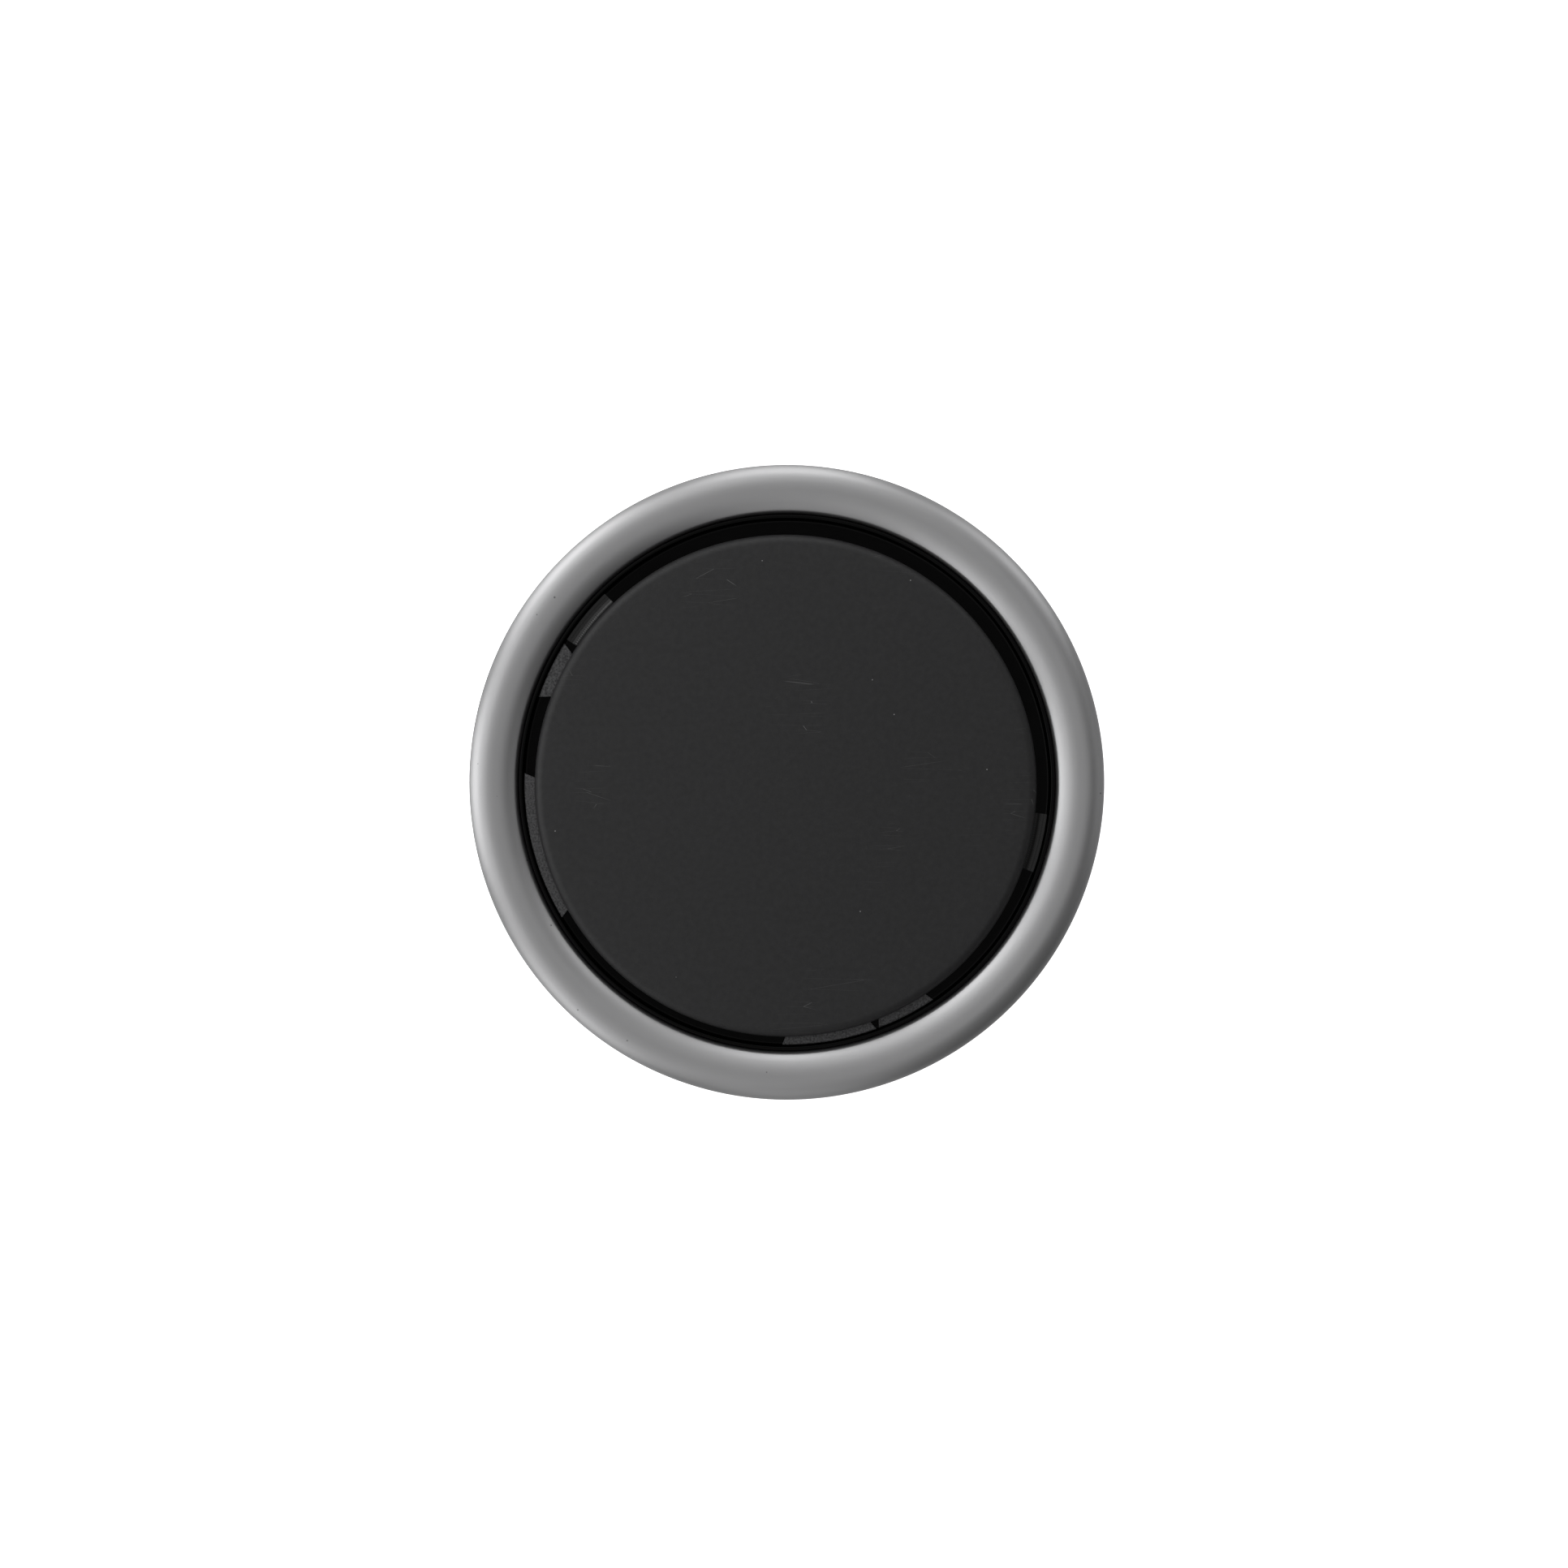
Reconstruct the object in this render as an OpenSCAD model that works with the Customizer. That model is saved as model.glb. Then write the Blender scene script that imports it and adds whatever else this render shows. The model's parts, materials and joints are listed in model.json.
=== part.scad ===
// Kitchen garbage disposal, batch feed: a sink flange, a turn-to-start cover, a hopper,
// a grind chamber and an induction motor in a trim shell. The sink's surface is z = 0,
// the throat's axis is the Z axis, and the body hangs below the sink.

/* [Sink flange] */
// Outer diameter of the throat tube, which passes through the sink's opening
throat_d = 86; // [71:0.5:104]
// Width of the ledge between the throat and the rolled lip
ledge_w = 5.6; // [4.8:0.1:7]
// Width of the domed rim, from the lip to the outer edge
rim_w = 8.55; // [7.2:0.05:10.3]
// Distance from the lip to the rim's crest
crest_w = 4.7; // [4:0.05:5.3]
// Height of the rim's crest above the sink
rim_h = 6.6; // [5.5:0.1:8]
// Radius of the rolled inner lip
lip_r = 1.3; // [1.3:0.05:1.8]
// Slope of the dome where the lip rolls away from it, in degrees
lip_tilt = 40; // [32:1:46]
// Slope of the rim at its outer edge, in degrees
rim_tilt = 44.5; // [38:0.5:60]
// Thickness of the pressed steel
sheet = 1.2; // [1:0.05:1.25]
// Depth of the throat tube below the sink
throat_depth = 52; // [43:1:63]
// Thickness of the seal between the rim and the sink
seal_t = 1.2; // [0.8:0.1:2]

/* [Throat liner] */
// Wall of the liner's tube
liner_wall = 1.6; // [1.2:0.1:2]
// Thickness of the liner's shelf and upstand
liner_t = 0.8; // [0.6:0.1:1]
// Height of the upstand above the shelf
upstand_h = 1.2; // [1:0.1:1.5]
// Height of the seat pads above the shelf
pad_h = 0.9; // [0.7:0.05:1.2]
// Width of the seat pads
pad_w = 4.8; // [3.5:0.1:5.8]

/* [Cover] */
// Gap between the lip and the edge of the cover's disc
cover_gap = 3.4; // [2.8:0.1:4.1]
// Thickness of the disc
cover_t = 2.3; // [1.9:0.1:2.8]
// Radius of the disc's rounded edge
cover_edge_r = 1.8; // [1.4:0.1:1.8]
// Width of the water way between the skirt and the liner
skirt_gap = 6; // [5:0.1:7.2]
// Wall of the skirt
skirt_wall = 2.5; // [2:0.1:3]
// Thickness of the flange that joins the skirt to the disc
skirt_flange_t = 3; // [2.5:0.1:3.6]
// How far a key stands out of the skirt
key_h = 3; // [2.4:0.1:3.4]
// Width of a key
key_w = 8; // [6:0.5:10]
// Turn that starts the motor, in degrees
start_turn = 45; // [38:1:50]

/* [Sink mount] */
// Clear height under the rim for the sink's own steel
sink_t = 2.4; // [2.2:0.1:4]
// Thickness of the fibre gasket
gasket_t = 1.6; // [1.2:0.1:2]
// Thickness of the backup flange
backup_t = 2; // [1.6:0.1:3]
// How far the mount's rings stand out from the throat
mount_w = 17.5; // [16.5:0.1:20]
// Thickness of the upper mounting ring
upper_ring_t = 3; // [2.4:0.1:3.6]
// Length of a mounting screw, without its head
mount_screw_l = 25; // [24:0.5:27]
// Diameter of a mounting screw
mount_screw_d = 6; // [5:0.1:7]
// Thickness of the lower mounting ring
lower_ring_t = 3; // [2.4:0.1:3.6]
// Turn that unlocks the lower mounting ring, in degrees
lock_turn = 35; // [30:1:40]

/* [Hopper] */
// Gap between the throat tube and the neck
neck_gap = 3; // [2.4:0.1:3.6]
// Wall of the neck
neck_wall = 4; // [3.4:0.1:4.8]
// Length of the neck below the mount, down to the shoulder
neck_l = 58; // [56:1:70]
// Height of the sloping shoulder
shoulder_h = 24; // [20:1:29]
// Outside diameter of the dishwasher inlet
inlet_d = 22.2; // [18.5:0.1:24]
// Bore of the dishwasher inlet
inlet_bore_d = 17; // [14:0.1:18]
// Height of the trip ring
trip_h = 8; // [6.7:0.1:9.6]
// Rise of the trip ring's cam
cam_rise = 2.5; // [2:0.1:3]

/* [Body] */
// Outer diameter of the trim shell
body_d = 158; // [148:1:190]
// Thickness of the trim shell
shell_t = 1.2; // [1:0.05:1.5]
// Thickness of the sound jacket
jacket_t = 3.6; // [3:0.1:4.4]
// Wall of the grind housing
grind_wall = 4; // [3.4:0.1:4.8]
// Thickness of the joint flanges
flange_t = 3.2; // [2.6:0.1:4]
// Height from the joint down to the shredder ring's foot
grind_h = 28; // [26:0.5:34]
// Height of the drain chamber under the shredder ring
drain_h = 44; // [42:1:53]
// Thickness of the drain chamber's floor
floor_t = 5; // [4:0.1:6]
// Height of the base compartment
base_h = 20; // [18.5:0.5:24]
// Thickness of the base's floor
base_floor_t = 2.5; // [2:0.1:3]

/* [Grinding parts] */
// Radial thickness of the shredder ring
shredder_t = 5.8; // [5:0.1:7]
// Height of the shredder ring
shredder_h = 24; // [20:0.5:25]
// Number of grinding notches
notch_count = 24; // [16:1:30]
// Thickness of the turntable
table_t = 3; // [2.4:0.1:3.6]
// Height of an impeller
impeller_h = 7.5; // [6:0.1:9]
// Diameter of the impeller rivets
rivet_d = 8; // [6.5:0.1:9]
// Radius of the hub that the impellers clear
hub_clear_r = 14; // [12:0.5:16]

/* [Discharge outlet] */
// Bore of the outlet
outlet_d = 38; // [32:0.5:39]
// Wall of the outlet's spout
outlet_wall = 4; // [3:0.1:5]
// Distance between the two flange bolts
outlet_bolt_span = 54; // [50:0.5:58]
// Diameter of the flange bolt holes
outlet_hole_d = 5.5; // [4.5:0.1:6]
// How far the flange's face stands out of the trim shell
outlet_proud = 2; // [1:0.1:3]
// Thickness of the outlet's flange
outlet_flange_t = 5; // [4:0.1:6]

/* [Motor] */
// Height of the motor, from the drain floor to the base compartment
motor_h = 90; // [82:1:108]
// Thickness of the motor's steel shell
motor_shell_t = 1.6; // [1.3:0.1:2]
// Diameter of the shaft
shaft_d = 12; // [10:0.1:14.4]
// Height of the laminated stack
stack_h = 40; // [34:1:44]
// Diameter of the rotor
rotor_d = 61; // [56:0.5:66]
// Air gap between the rotor and the stator
air_gap = 0.5; // [0.4:0.1:0.8]
// Radial depth of the stator
stator_w = 27; // [24:0.5:27.5]
// Number of stator slots
slot_count = 24; // [18:6:30]
// Wall of the bearing bushes
bush_wall = 3; // [2.5:0.1:3.6]
// Thickness of an end bell
bell_t = 8; // [6.7:0.1:9]

/* [Base fittings] */
// Diameter of the conduit opening
conduit_d = 22.2; // [18.5:0.1:24]
// Diameter of the wrench opening
wrench_hole_d = 18; // [15:0.5:21]
// Size across the flats of the wrench socket
wrench_af = 6.4; // [5.4:0.1:7]
// Diameter of the reset button
button_d = 8; // [6.7:0.1:9.6]
// Travel of the reset button
button_travel = 3; // [2.5:0.1:3.6]

/* [Clearances] */
// Gap between fixed pieces that nest
nest_gap = 0.2; // [0.15:0.05:0.25]
// Radial clearance of a turning fit
run_gap = 0.05; // [0.04:0.01:0.06]
// Gap between pieces that move past each other
move_gap = 0.3; // [0.25:0.05:0.36]

/* [Hidden] */
$fn = 96;
eps = 0.01;            // overlap between a cutter and what it cuts

// Colours
steel = "#b4b6b8";
zinc = "#9a9c9e";
black_plastic = "#161617";
matt_black = "#242426";
rubber = "#1d1d1e";
grey_plastic = "#3a3b3d";
cast_grey = "#8d8f91";
copper = "#a8643a";
foam_grey = "#55575a";
bronze = "#9c7a45";
button_red = "#a8231c";
ground_green = "#2f7a3d";

// Radii of the throat
throat_r = throat_d / 2;
throat_in_r = throat_r - sheet;
mouth_r = throat_r + ledge_w;
rim_r = mouth_r + rim_w;
crest_r = mouth_r + crest_w;
slope_w = rim_w - crest_w;
outer_arc_r = slope_w / sin(rim_tilt);
lip_x = mouth_r + lip_r;
inner_arc_r = lip_r + (crest_w - lip_r) / sin(lip_tilt);
liner_out_r = throat_in_r - nest_gap;
liner_in_r = liner_out_r - liner_wall;
upstand_r = mouth_r - nest_gap;
pad_out_r = upstand_r - liner_t - nest_gap;

// Heights at the mouth
inner_arc_z = rim_h - inner_arc_r;
lip_z = inner_arc_z + (inner_arc_r - lip_r) * cos(lip_tilt);
ledge_z = seal_t + sheet;
shelf_z = ledge_z + liner_t;
pad_z = shelf_z + pad_h;

// Angles of the seat pads and the cam ramps: start, end, height share
PADS = [[178, 211, 1], [148, 161, 0.8], [269, 290, 1], [290.5, 304, 0.7]];
RAMPS = [[134, 147], [340, 353]];
pad_skew = 2.5;        // slant of a pad's ends, in degrees
ramp_h = 0.8;

// Cover: it has settled a little to one side in its loose fit
cover_off = [-0.2, -0.6, 0];
cover_slip = norm(cover_off);
seat_gap = 0.1;
cover_r = mouth_r - cover_gap;
cover_z = pad_z + seat_gap;
cover_top = cover_z + cover_t;
skirt_r = liner_in_r - skirt_gap;
skirt_in_r = skirt_r - skirt_wall;
skirt_flange_w = 10;
skirt_flange_in_r = skirt_in_r - skirt_flange_w;
cover_screw_r = skirt_in_r - skirt_flange_w / 2;
cover_screw_d = 4;
cover_screw_l = skirt_flange_t + cover_t / 2;
cover_screw_head_h = 2;
cover_screw_count = 3;
seal_lip_t = 1.4;
seal_w = skirt_gap - seal_lip_t;
seal_h = 4;
seal_lip_h = 3;
window_count = 4;
window_a = 52;
window_gap = 12;       // wall left above and below the windows

// Trip ring, in the hopper's neck below the throat tube
neck_in_r = throat_r + neck_gap;
neck_r = neck_in_r + neck_wall;
clip_t = 1.2;
clip_w = 2.2;
clip_drop = 10.6;      // from the throat tube down to the clip
clip_z = -throat_depth - clip_drop - clip_t;
trip_top = clip_z - nest_gap;
trip_z = trip_top - trip_h;
trip_slack = 0.5;
trip_r = neck_in_r - cover_slip - trip_slack;
trip_in_r = skirt_r + move_gap + trip_slack;
notch_depth = key_h + move_gap;
key_count = 3;
key_t = trip_h / 2;
key_first_a = 30;
cam_low_r = trip_r - cam_rise;
cam_step = 3;
cam_lead = 8;
cam_depth = 6;
skirt_rise = 2;        // from the trip ring's foot up to the skirt's
skirt_bottom = trip_z + skirt_rise;

// Switch pod on the neck
pod_a = 250;
pod_axis = [cos(pod_a), sin(pod_a), 0];
plunger_z = (trip_z + trip_top) / 2;
plunger_r = 2;
plunger_collar_r = 3.6;
plunger_collar_t = 1.5;
tip_gap = 0.3;
plunger_x = cam_low_r + tip_gap + cover_off * pod_axis;
plunger_out = 4.2;     // how far the plunger stands out of the neck
plunger_l = neck_r - cam_low_r + plunger_out;
pod_half_w = 10;
pod_above = 10;
pod_below = 14;
pod_x = neck_r + nest_gap;
pod_depth = 14.2;
pod_wall = 1.6;
pod_cover_t = 1.4;
pod_screw_d = 3;
pod_screw_inset = 3.6;
switch_half_w = 6;
switch_half_h = 3;
switch_tag_l = 3.6;
switch_x = plunger_x + plunger_l + cam_rise + plunger_collar_t + move_gap;
switch_depth = pod_x + pod_depth - switch_x;

// Sink mount
gasket_z = -sink_t - gasket_t;
backup_z = gasket_z - backup_t;
mount_in_r = throat_r + 2 * nest_gap;
mount_r = throat_r + mount_w;
upper_ring_drop = 11;  // from the backup flange down to the ring
upper_ring_z = backup_z - upper_ring_drop - upper_ring_t;
snap_t = 1.8;
snap_w = 3;
snap_groove = sheet / 2;
snap_z = upper_ring_z - snap_t - nest_gap / 2;
mount_screw_out = 9;   // from the throat tube to a screw's axis
mount_screw_r = throat_r + mount_screw_out;
mount_screw_first_a = 60;
mount_screw_head_h = 3;
mount_screw_head_r = 4.4;
ear_count = 3;
ear_half_a = 12;
ear_t = 2.5;
ear_r = mount_r - nest_gap;
ear_in_r = ear_r - ear_t;
ear_tab_out = 10;
ear_tab_in_r = throat_r + ear_tab_out;
ear_tab_t = 2.8;
mount_stack_l = mount_screw_l + mount_screw_head_h;
screw_room = 4.5;      // from the screw heads down to the lower ring
lower_ring_top = backup_z - mount_stack_l - screw_room;
lower_ring_z = lower_ring_top - lower_ring_t;
ear_tab_top = lower_ring_z - nest_gap;
ear_tab_z = ear_tab_top - ear_tab_t;
lower_ring_in_r = neck_r + 2 * move_gap;
lower_ring_r = ear_in_r - 2 * nest_gap;
lug_a = 86;
lug_half_w = 5;
lug_l = 6.4;
lug_hole_r = 2.6;
hopper_lip_t = 2;
hopper_lip_z = lower_ring_top + nest_gap;
hopper_top = hopper_lip_z + hopper_lip_t;
hopper_lip_w = 4.2;
hopper_lip_r = neck_r + hopper_lip_w;
cushion_base_t = 1.2;
cushion_h = 7.5;
cushion_top_w = 2.4;

// Hopper below the neck
trip_ledge_t = 2.8;
trip_ledge_w = 3;
trip_ledge_r = trip_r - trip_ledge_w;
trip_ledge_top = trip_z - move_gap;
shoulder_top = hopper_lip_z - neck_l;
joint_z = shoulder_top - shoulder_h - flange_t;
inlet_a = 90;
inlet_rise = 1.5;
inlet_z = trip_ledge_top - trip_ledge_t - inlet_d / 2 + inlet_rise;
inlet_out = 21;        // how far the inlet stands out of the neck
inlet_end = neck_r + inlet_out;
inlet_collar_r = inlet_d / 2 + 1.4;
inlet_collar_out = 2;
inlet_plug_t = 2;

// Radii of the body
body_r = body_d / 2;
shell_in_r = body_r - shell_t;
joint_gap = 2.4;       // between the joint flanges and the trim shell
joint_r = shell_in_r - joint_gap;
jacket_out_r = shell_in_r - nest_gap;
jacket_in_r = jacket_out_r - jacket_t;
motor_shell_r = jacket_in_r - nest_gap;
motor_in_r = motor_shell_r - motor_shell_t;
grind_out_r = motor_in_r - nest_gap;
grind_in_r = grind_out_r - grind_wall;
shredder_r = grind_in_r - nest_gap;
shredder_in_r = shredder_r - shredder_t;
table_gap = 1;
table_r = shredder_in_r - table_gap;

// Heights of the body
hopper_gasket_t = 1.2;
grind_top = joint_z - hopper_gasket_t;
ring_foot_z = joint_z - grind_h;
ledge_h = 4;
ledge_depth = 3;
drain_z = ring_foot_z - drain_h;
grind_z = drain_z - floor_t;
motor_z = grind_z - motor_h;
base_z = motor_z - base_h;
shell_top = joint_z + flange_t;
outlet_rise = 1;
outlet_z = ring_foot_z - ledge_h - outlet_d / 2 + outlet_rise;
outlet_x = body_r + outlet_proud;
outlet_out_r = outlet_d / 2 + outlet_wall;
outlet_ear_r = 5.5;
outlet_rim_w = 1.5;    // how far the flange's disc stands out round the spout
outlet_window_w = outlet_bolt_span / 2 + outlet_ear_r + outlet_rim_w;
outlet_window_h = outlet_out_r + 1.5 * outlet_rim_w;
hopper_screw_count = 6;
hopper_screw_r = grind_out_r + 0.5;
hopper_screw_d = 5;
hopper_screw_head_h = 3.5;
hopper_screw_first_a = 30;

// Turntable and impellers
table_rise = 5;        // from the shredder ring's foot up to the turntable's top
table_top = ring_foot_z + table_rise;
table_z = table_top - table_t;
pivot_r = (table_r + hub_clear_r) / 2;
impeller_reach = (table_r - hub_clear_r) / 2 - table_gap;
impeller_tip_r = 6;
impeller_eye_w = 4;
impeller_eye_r = rivet_d / 2 + impeller_eye_w;
impeller_z = table_top + move_gap;
impeller_top = impeller_z + impeller_h;
rivet_head_t = 2;
rivet_head_w = 3;
rivet_head_r = rivet_d / 2 + rivet_head_w;
table_hub_r = 13;
table_hub_h = 10;
nut_r = 11;
nut_h = 7;
drain_hole_r = 2.5;
shredder_notch_w = 4;
shredder_notch_d = 2.6;
shredder_notch_top = 4;

// Motor
shaft_r = shaft_d / 2;
bush_in_r = shaft_r + run_gap;
bush_r = bush_in_r + bush_wall;
seal_boss_w = 6;
seal_boss_r = bush_r + seal_boss_w;
seal_boss_wall = 3;
slinger_r = 18;
slinger_t = 3;
slinger_rise = 8;
slinger_z = drain_z + slinger_rise;
shaft_top = table_top + nut_h;
shaft_out = 4;         // how far the shaft stands out of the motor
shaft_bottom = motor_z - shaft_out;
socket_depth = 8;
rotor_r = rotor_d / 2;
stator_in_r = rotor_r + air_gap;
stator_r = stator_in_r + stator_w;
stack_z = motor_z + (motor_h - stack_h) / 2;
stack_top = stack_z + stack_h;
end_turn_h = 10;
end_turn_inset = 3;
end_turn_round = 3;
end_ring_h = 7;
end_ring_w = 11;
slot_w = 4.2;
slot_mouth = 1.6;
slot_depth = 13;
bell_r = motor_in_r - nest_gap;
bell_boss_h = 6;
bell_boss_w = 4;
bell_boss_r = bush_r + bell_boss_w;
bush_h = bell_t + bell_boss_h;
washer_t = 1.2;
washer_w = 1;          // how far a washer stands out past the bush
washer_r = bush_r + washer_w;
bolt_count = 4;
bolt_d = 5;
bolt_r = (stator_r + motor_in_r) / 2;
bolt_head_h = 3.5;
bolt_first_a = 25;

// Base fittings, each at an angle and a distance from the axis
base_top = motor_z;
floor_top = base_z + base_floor_t;
base_wall = 2.2;
conduit_at = [212, 50];
button_at = [40, 46];
plate_at = [145, 46];
plate_size = [30, 34];
plate_t = 1.2;
plate_lap = 2;
capacitor_at = [285, 44];
capacitor_r = 7;
capacitor_l = 34;
relay_at = [340, 46];
relay_size = [20, 24, 13];
block_at = [145, 46];
block_size = [14, 26, 10];
ground_at = [95, 52];
ground_r = 3;
base_screw_count = 3;
base_screw_first_a = 70;
base_screw_d = 4;
base_screw_grip = 6;   // length of thread in the lower end bell
base_post_r = 6;
base_screw_r = bell_r - base_post_r;
protector_size = [22, 18, 9];
button_recess = 1;
button_hole_r = button_d / 2 + move_gap;
lift = floor_top + nest_gap;

// A flat ring on the throat's axis
module ring(ro, ri, z0, z1) {
    translate([0, 0, z0])
        linear_extrude(z1 - z0)
            difference() {
                circle(ro);
                circle(ri);
            }
}

// A round plate on the throat's axis
module plate(r, z0, z1) {
    translate([0, 0, z0]) cylinder(r = r, h = z1 - z0);
}

// Copies spread evenly around the axis
module around(count, first = 0) {
    for (i = [0 : count - 1]) rotate([0, 0, first + i * 360 / count]) children();
}

// A place given as [angle, distance]
module at_polar(place, z = 0) {
    rotate([0, 0, place[0]]) translate([place[1], 0, z]) children();
}

// Turns a thing that points up so that it points away from the axis
module outward(angle, z) {
    rotate([0, 0, angle]) translate([0, 0, z]) rotate([0, 90, 0]) children();
}

// A point at radius r and angle a
function polar(r, a) = [r * cos(a), r * sin(a)];

// Part of a flat ring from a0 to a1, with both ends slanted by skew degrees
module sector(ro, ri, a0, a1, skew = 0) {
    far = 2 * ro;
    intersection() {
        difference() {
            circle(ro);
            circle(ri);
        }
        polygon([
            polar(ri / 2, a0 + skew), polar(ri, a0 + skew), polar(ro, a0), polar(far, a0),
            polar(far, (a0 + a1) / 2),
            polar(far, a1), polar(ro, a1), polar(ri, a1 - skew), polar(ri / 2, a1 - skew)
        ]);
    }
}

// A sector with a height
module sector_block(ro, ri, a0, a1, z0, z1, skew = 0) {
    translate([0, 0, z0]) linear_extrude(z1 - z0) sector(ro, ri, a0, a1, skew);
}

// A screw that points down from z, with its head on top
module screw(z, d, l, head_r, head_h) {
    translate([0, 0, z - l]) cylinder(d = d, h = l + eps);
    translate([0, 0, z])
        difference() {
            cylinder(r = head_r, h = head_h);
            translate([0, 0, head_h - head_h / 3]) cylinder(r = head_r / 2, h = head_h, $fn = 6);
        }
}

// Half section of the domed rim, set in from its outside by inset: the outer arc,
// the inner arc up to the lip, the rolled lip and the wall below them
module rim_section(inset) {
    far = 2 * rim_h;
    lip_ray = [lip_x - far * sin(lip_tilt), lip_z + far * cos(lip_tilt)];
    intersection() {
        translate([crest_r, rim_h - outer_arc_r]) circle(outer_arc_r - inset);
        translate([crest_r, seal_t - inset]) square([slope_w - inset, far]);
    }
    intersection() {
        translate([crest_r, inner_arc_z]) circle(inner_arc_r - inset);
        polygon([[lip_x, lip_z], lip_ray, [crest_r, lip_ray[1]], [crest_r, lip_z]]);
    }
    intersection() {
        translate([lip_x, lip_z]) circle(lip_r - inset);
        polygon([[lip_x, lip_z], lip_ray, [0, lip_ray[1]], [0, lip_z]]);
    }
    translate([mouth_r + inset, seal_t - inset])
        square([crest_w - inset, lip_z - seal_t + inset]);
}

// Pressed steel flange: domed rim, rolled lip, ledge and throat tube
module sink_flange() {
    color(steel)
        rotate_extrude() {
            difference() {
                rim_section(0);
                rim_section(sheet);
            }
            translate([throat_in_r, seal_t]) square([mouth_r + sheet - throat_in_r, sheet]);
            difference() {
                translate([throat_in_r, -throat_depth]) square([sheet, throat_depth + ledge_z]);
                translate([throat_r - snap_groove, snap_z - nest_gap / 2])
                    square([sheet, snap_t + nest_gap]);
            }
        }
}

module sink_seal() {
    color(rubber) ring(rim_r - 2 * nest_gap, throat_r + sheet, 0, seal_t);
}

// Moulded liner: shelf, upstand and a tube down the throat
module throat_liner() {
    color(black_plastic) {
        ring(upstand_r, liner_in_r, ledge_z, shelf_z);
        ring(upstand_r, upstand_r - liner_t, shelf_z - eps, shelf_z + upstand_h);
        ring(liner_out_r, liner_in_r, -throat_depth + nest_gap, ledge_z + eps);
    }
}

// Grained pads that the cover's disc sits on
module seat_pads() {
    color(matt_black)
        for (p = PADS)
            sector_block(pad_out_r, pad_out_r - pad_w, p[0], p[1], shelf_z, shelf_z + p[2] * pad_h,
                         pad_skew);
}

// Glossy ramps that guide the cover round
module cam_ramps() {
    color(black_plastic)
        for (p = RAMPS)
            sector_block(pad_out_r, pad_out_r - pad_w, p[0], p[1], shelf_z, shelf_z + ramp_h);
}

module fibre_gasket() {
    color(grey_plastic) ring(mount_r - 2.5, mount_in_r, gasket_z, gasket_z + gasket_t);
}

module backup_flange() {
    color(zinc) ring(mount_r - 2, mount_in_r, backup_z, gasket_z);
}

// Upper mounting ring with three L-shaped ears
module upper_mount_ring() {
    color(zinc) {
        difference() {
            ring(mount_r, mount_in_r, upper_ring_z, upper_ring_z + upper_ring_t);
            around(ear_count, mount_screw_first_a)
                translate([mount_screw_r, 0, upper_ring_z - eps])
                    cylinder(d = mount_screw_d + nest_gap, h = upper_ring_t + 2 * eps);
        }
        around(ear_count)
            rotate([0, 0, -ear_half_a])
                rotate_extrude(angle = 2 * ear_half_a)
                    polygon([
                        [ear_in_r, upper_ring_z + upper_ring_t / 2],
                        [ear_in_r, ear_tab_top],
                        [ear_tab_in_r, ear_tab_top],
                        [ear_tab_in_r, ear_tab_z],
                        [ear_r, ear_tab_z],
                        [ear_r, upper_ring_z + upper_ring_t / 2]
                    ]);
    }
}

module snap_ring() {
    color(steel)
        translate([0, 0, snap_z])
            rotate([0, 0, 10])
                rotate_extrude(angle = 340)
                    translate([throat_r - snap_groove + nest_gap / 2, 0]) square([snap_w, snap_t]);
}

// Three screws that press the backup flange up against the sink
module mount_screws() {
    color(zinc)
        around(ear_count, mount_screw_first_a)
            translate([mount_screw_r, 0, 0])
                rotate([180, 0, 0])
                    screw(-backup_z + mount_screw_l, mount_screw_d, mount_screw_l,
                          mount_screw_head_r, mount_screw_head_h);
}

// Lower mounting ring, which turns over the ears to lock the body up
module lower_mount_ring() {
    color(zinc)
        difference() {
            union() {
                ring(lower_ring_r, lower_ring_in_r, lower_ring_z, lower_ring_top);
                rotate([0, 0, lug_a])
                    translate([lower_ring_r - 1, -lug_half_w, lower_ring_z])
                        cube([lug_l + 1, 2 * lug_half_w, lower_ring_t]);
            }
            around(ear_count, lock_turn)
                sector_block(2 * lower_ring_r, ear_tab_in_r - 0.5, -ear_half_a - 1.5,
                             ear_half_a + 1.5, lower_ring_z - eps, lower_ring_top + eps);
            at_polar([lug_a, lower_ring_r + lug_l / 2], lower_ring_z - eps)
                cylinder(r = lug_hole_r, h = lower_ring_t + 2 * eps);
        }
}

// Rubber cushion between the hopper's lip and the throat tube
module mount_cushion() {
    color(rubber)
        rotate_extrude()
            polygon([
                [throat_r + nest_gap, hopper_top],
                [hopper_lip_r, hopper_top],
                [hopper_lip_r, hopper_top + cushion_base_t],
                [mount_screw_r - mount_screw_head_r - 1, hopper_top + cushion_base_t],
                [throat_r + cushion_top_w, hopper_top + cushion_h],
                [throat_r + nest_gap, hopper_top + cushion_h]
            ]);
}

// Disc of the cover, with a rounded edge
module cover_disc() {
    color(matt_black)
        translate(cover_off)
            difference() {
                rotate_extrude() {
                    translate([0, cover_z]) square([cover_r - cover_edge_r, cover_t]);
                    translate([0, cover_z]) square([cover_r, cover_t - cover_edge_r]);
                    translate([cover_r - cover_edge_r, cover_top - cover_edge_r])
                        intersection() {
                            circle(cover_edge_r);
                            square(cover_edge_r);
                        }
                }
                around(cover_screw_count)
                    translate([cover_screw_r, 0, cover_z - eps])
                        cylinder(d = cover_screw_d, h = cover_screw_l - skirt_flange_t + eps);
            }
}

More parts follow.
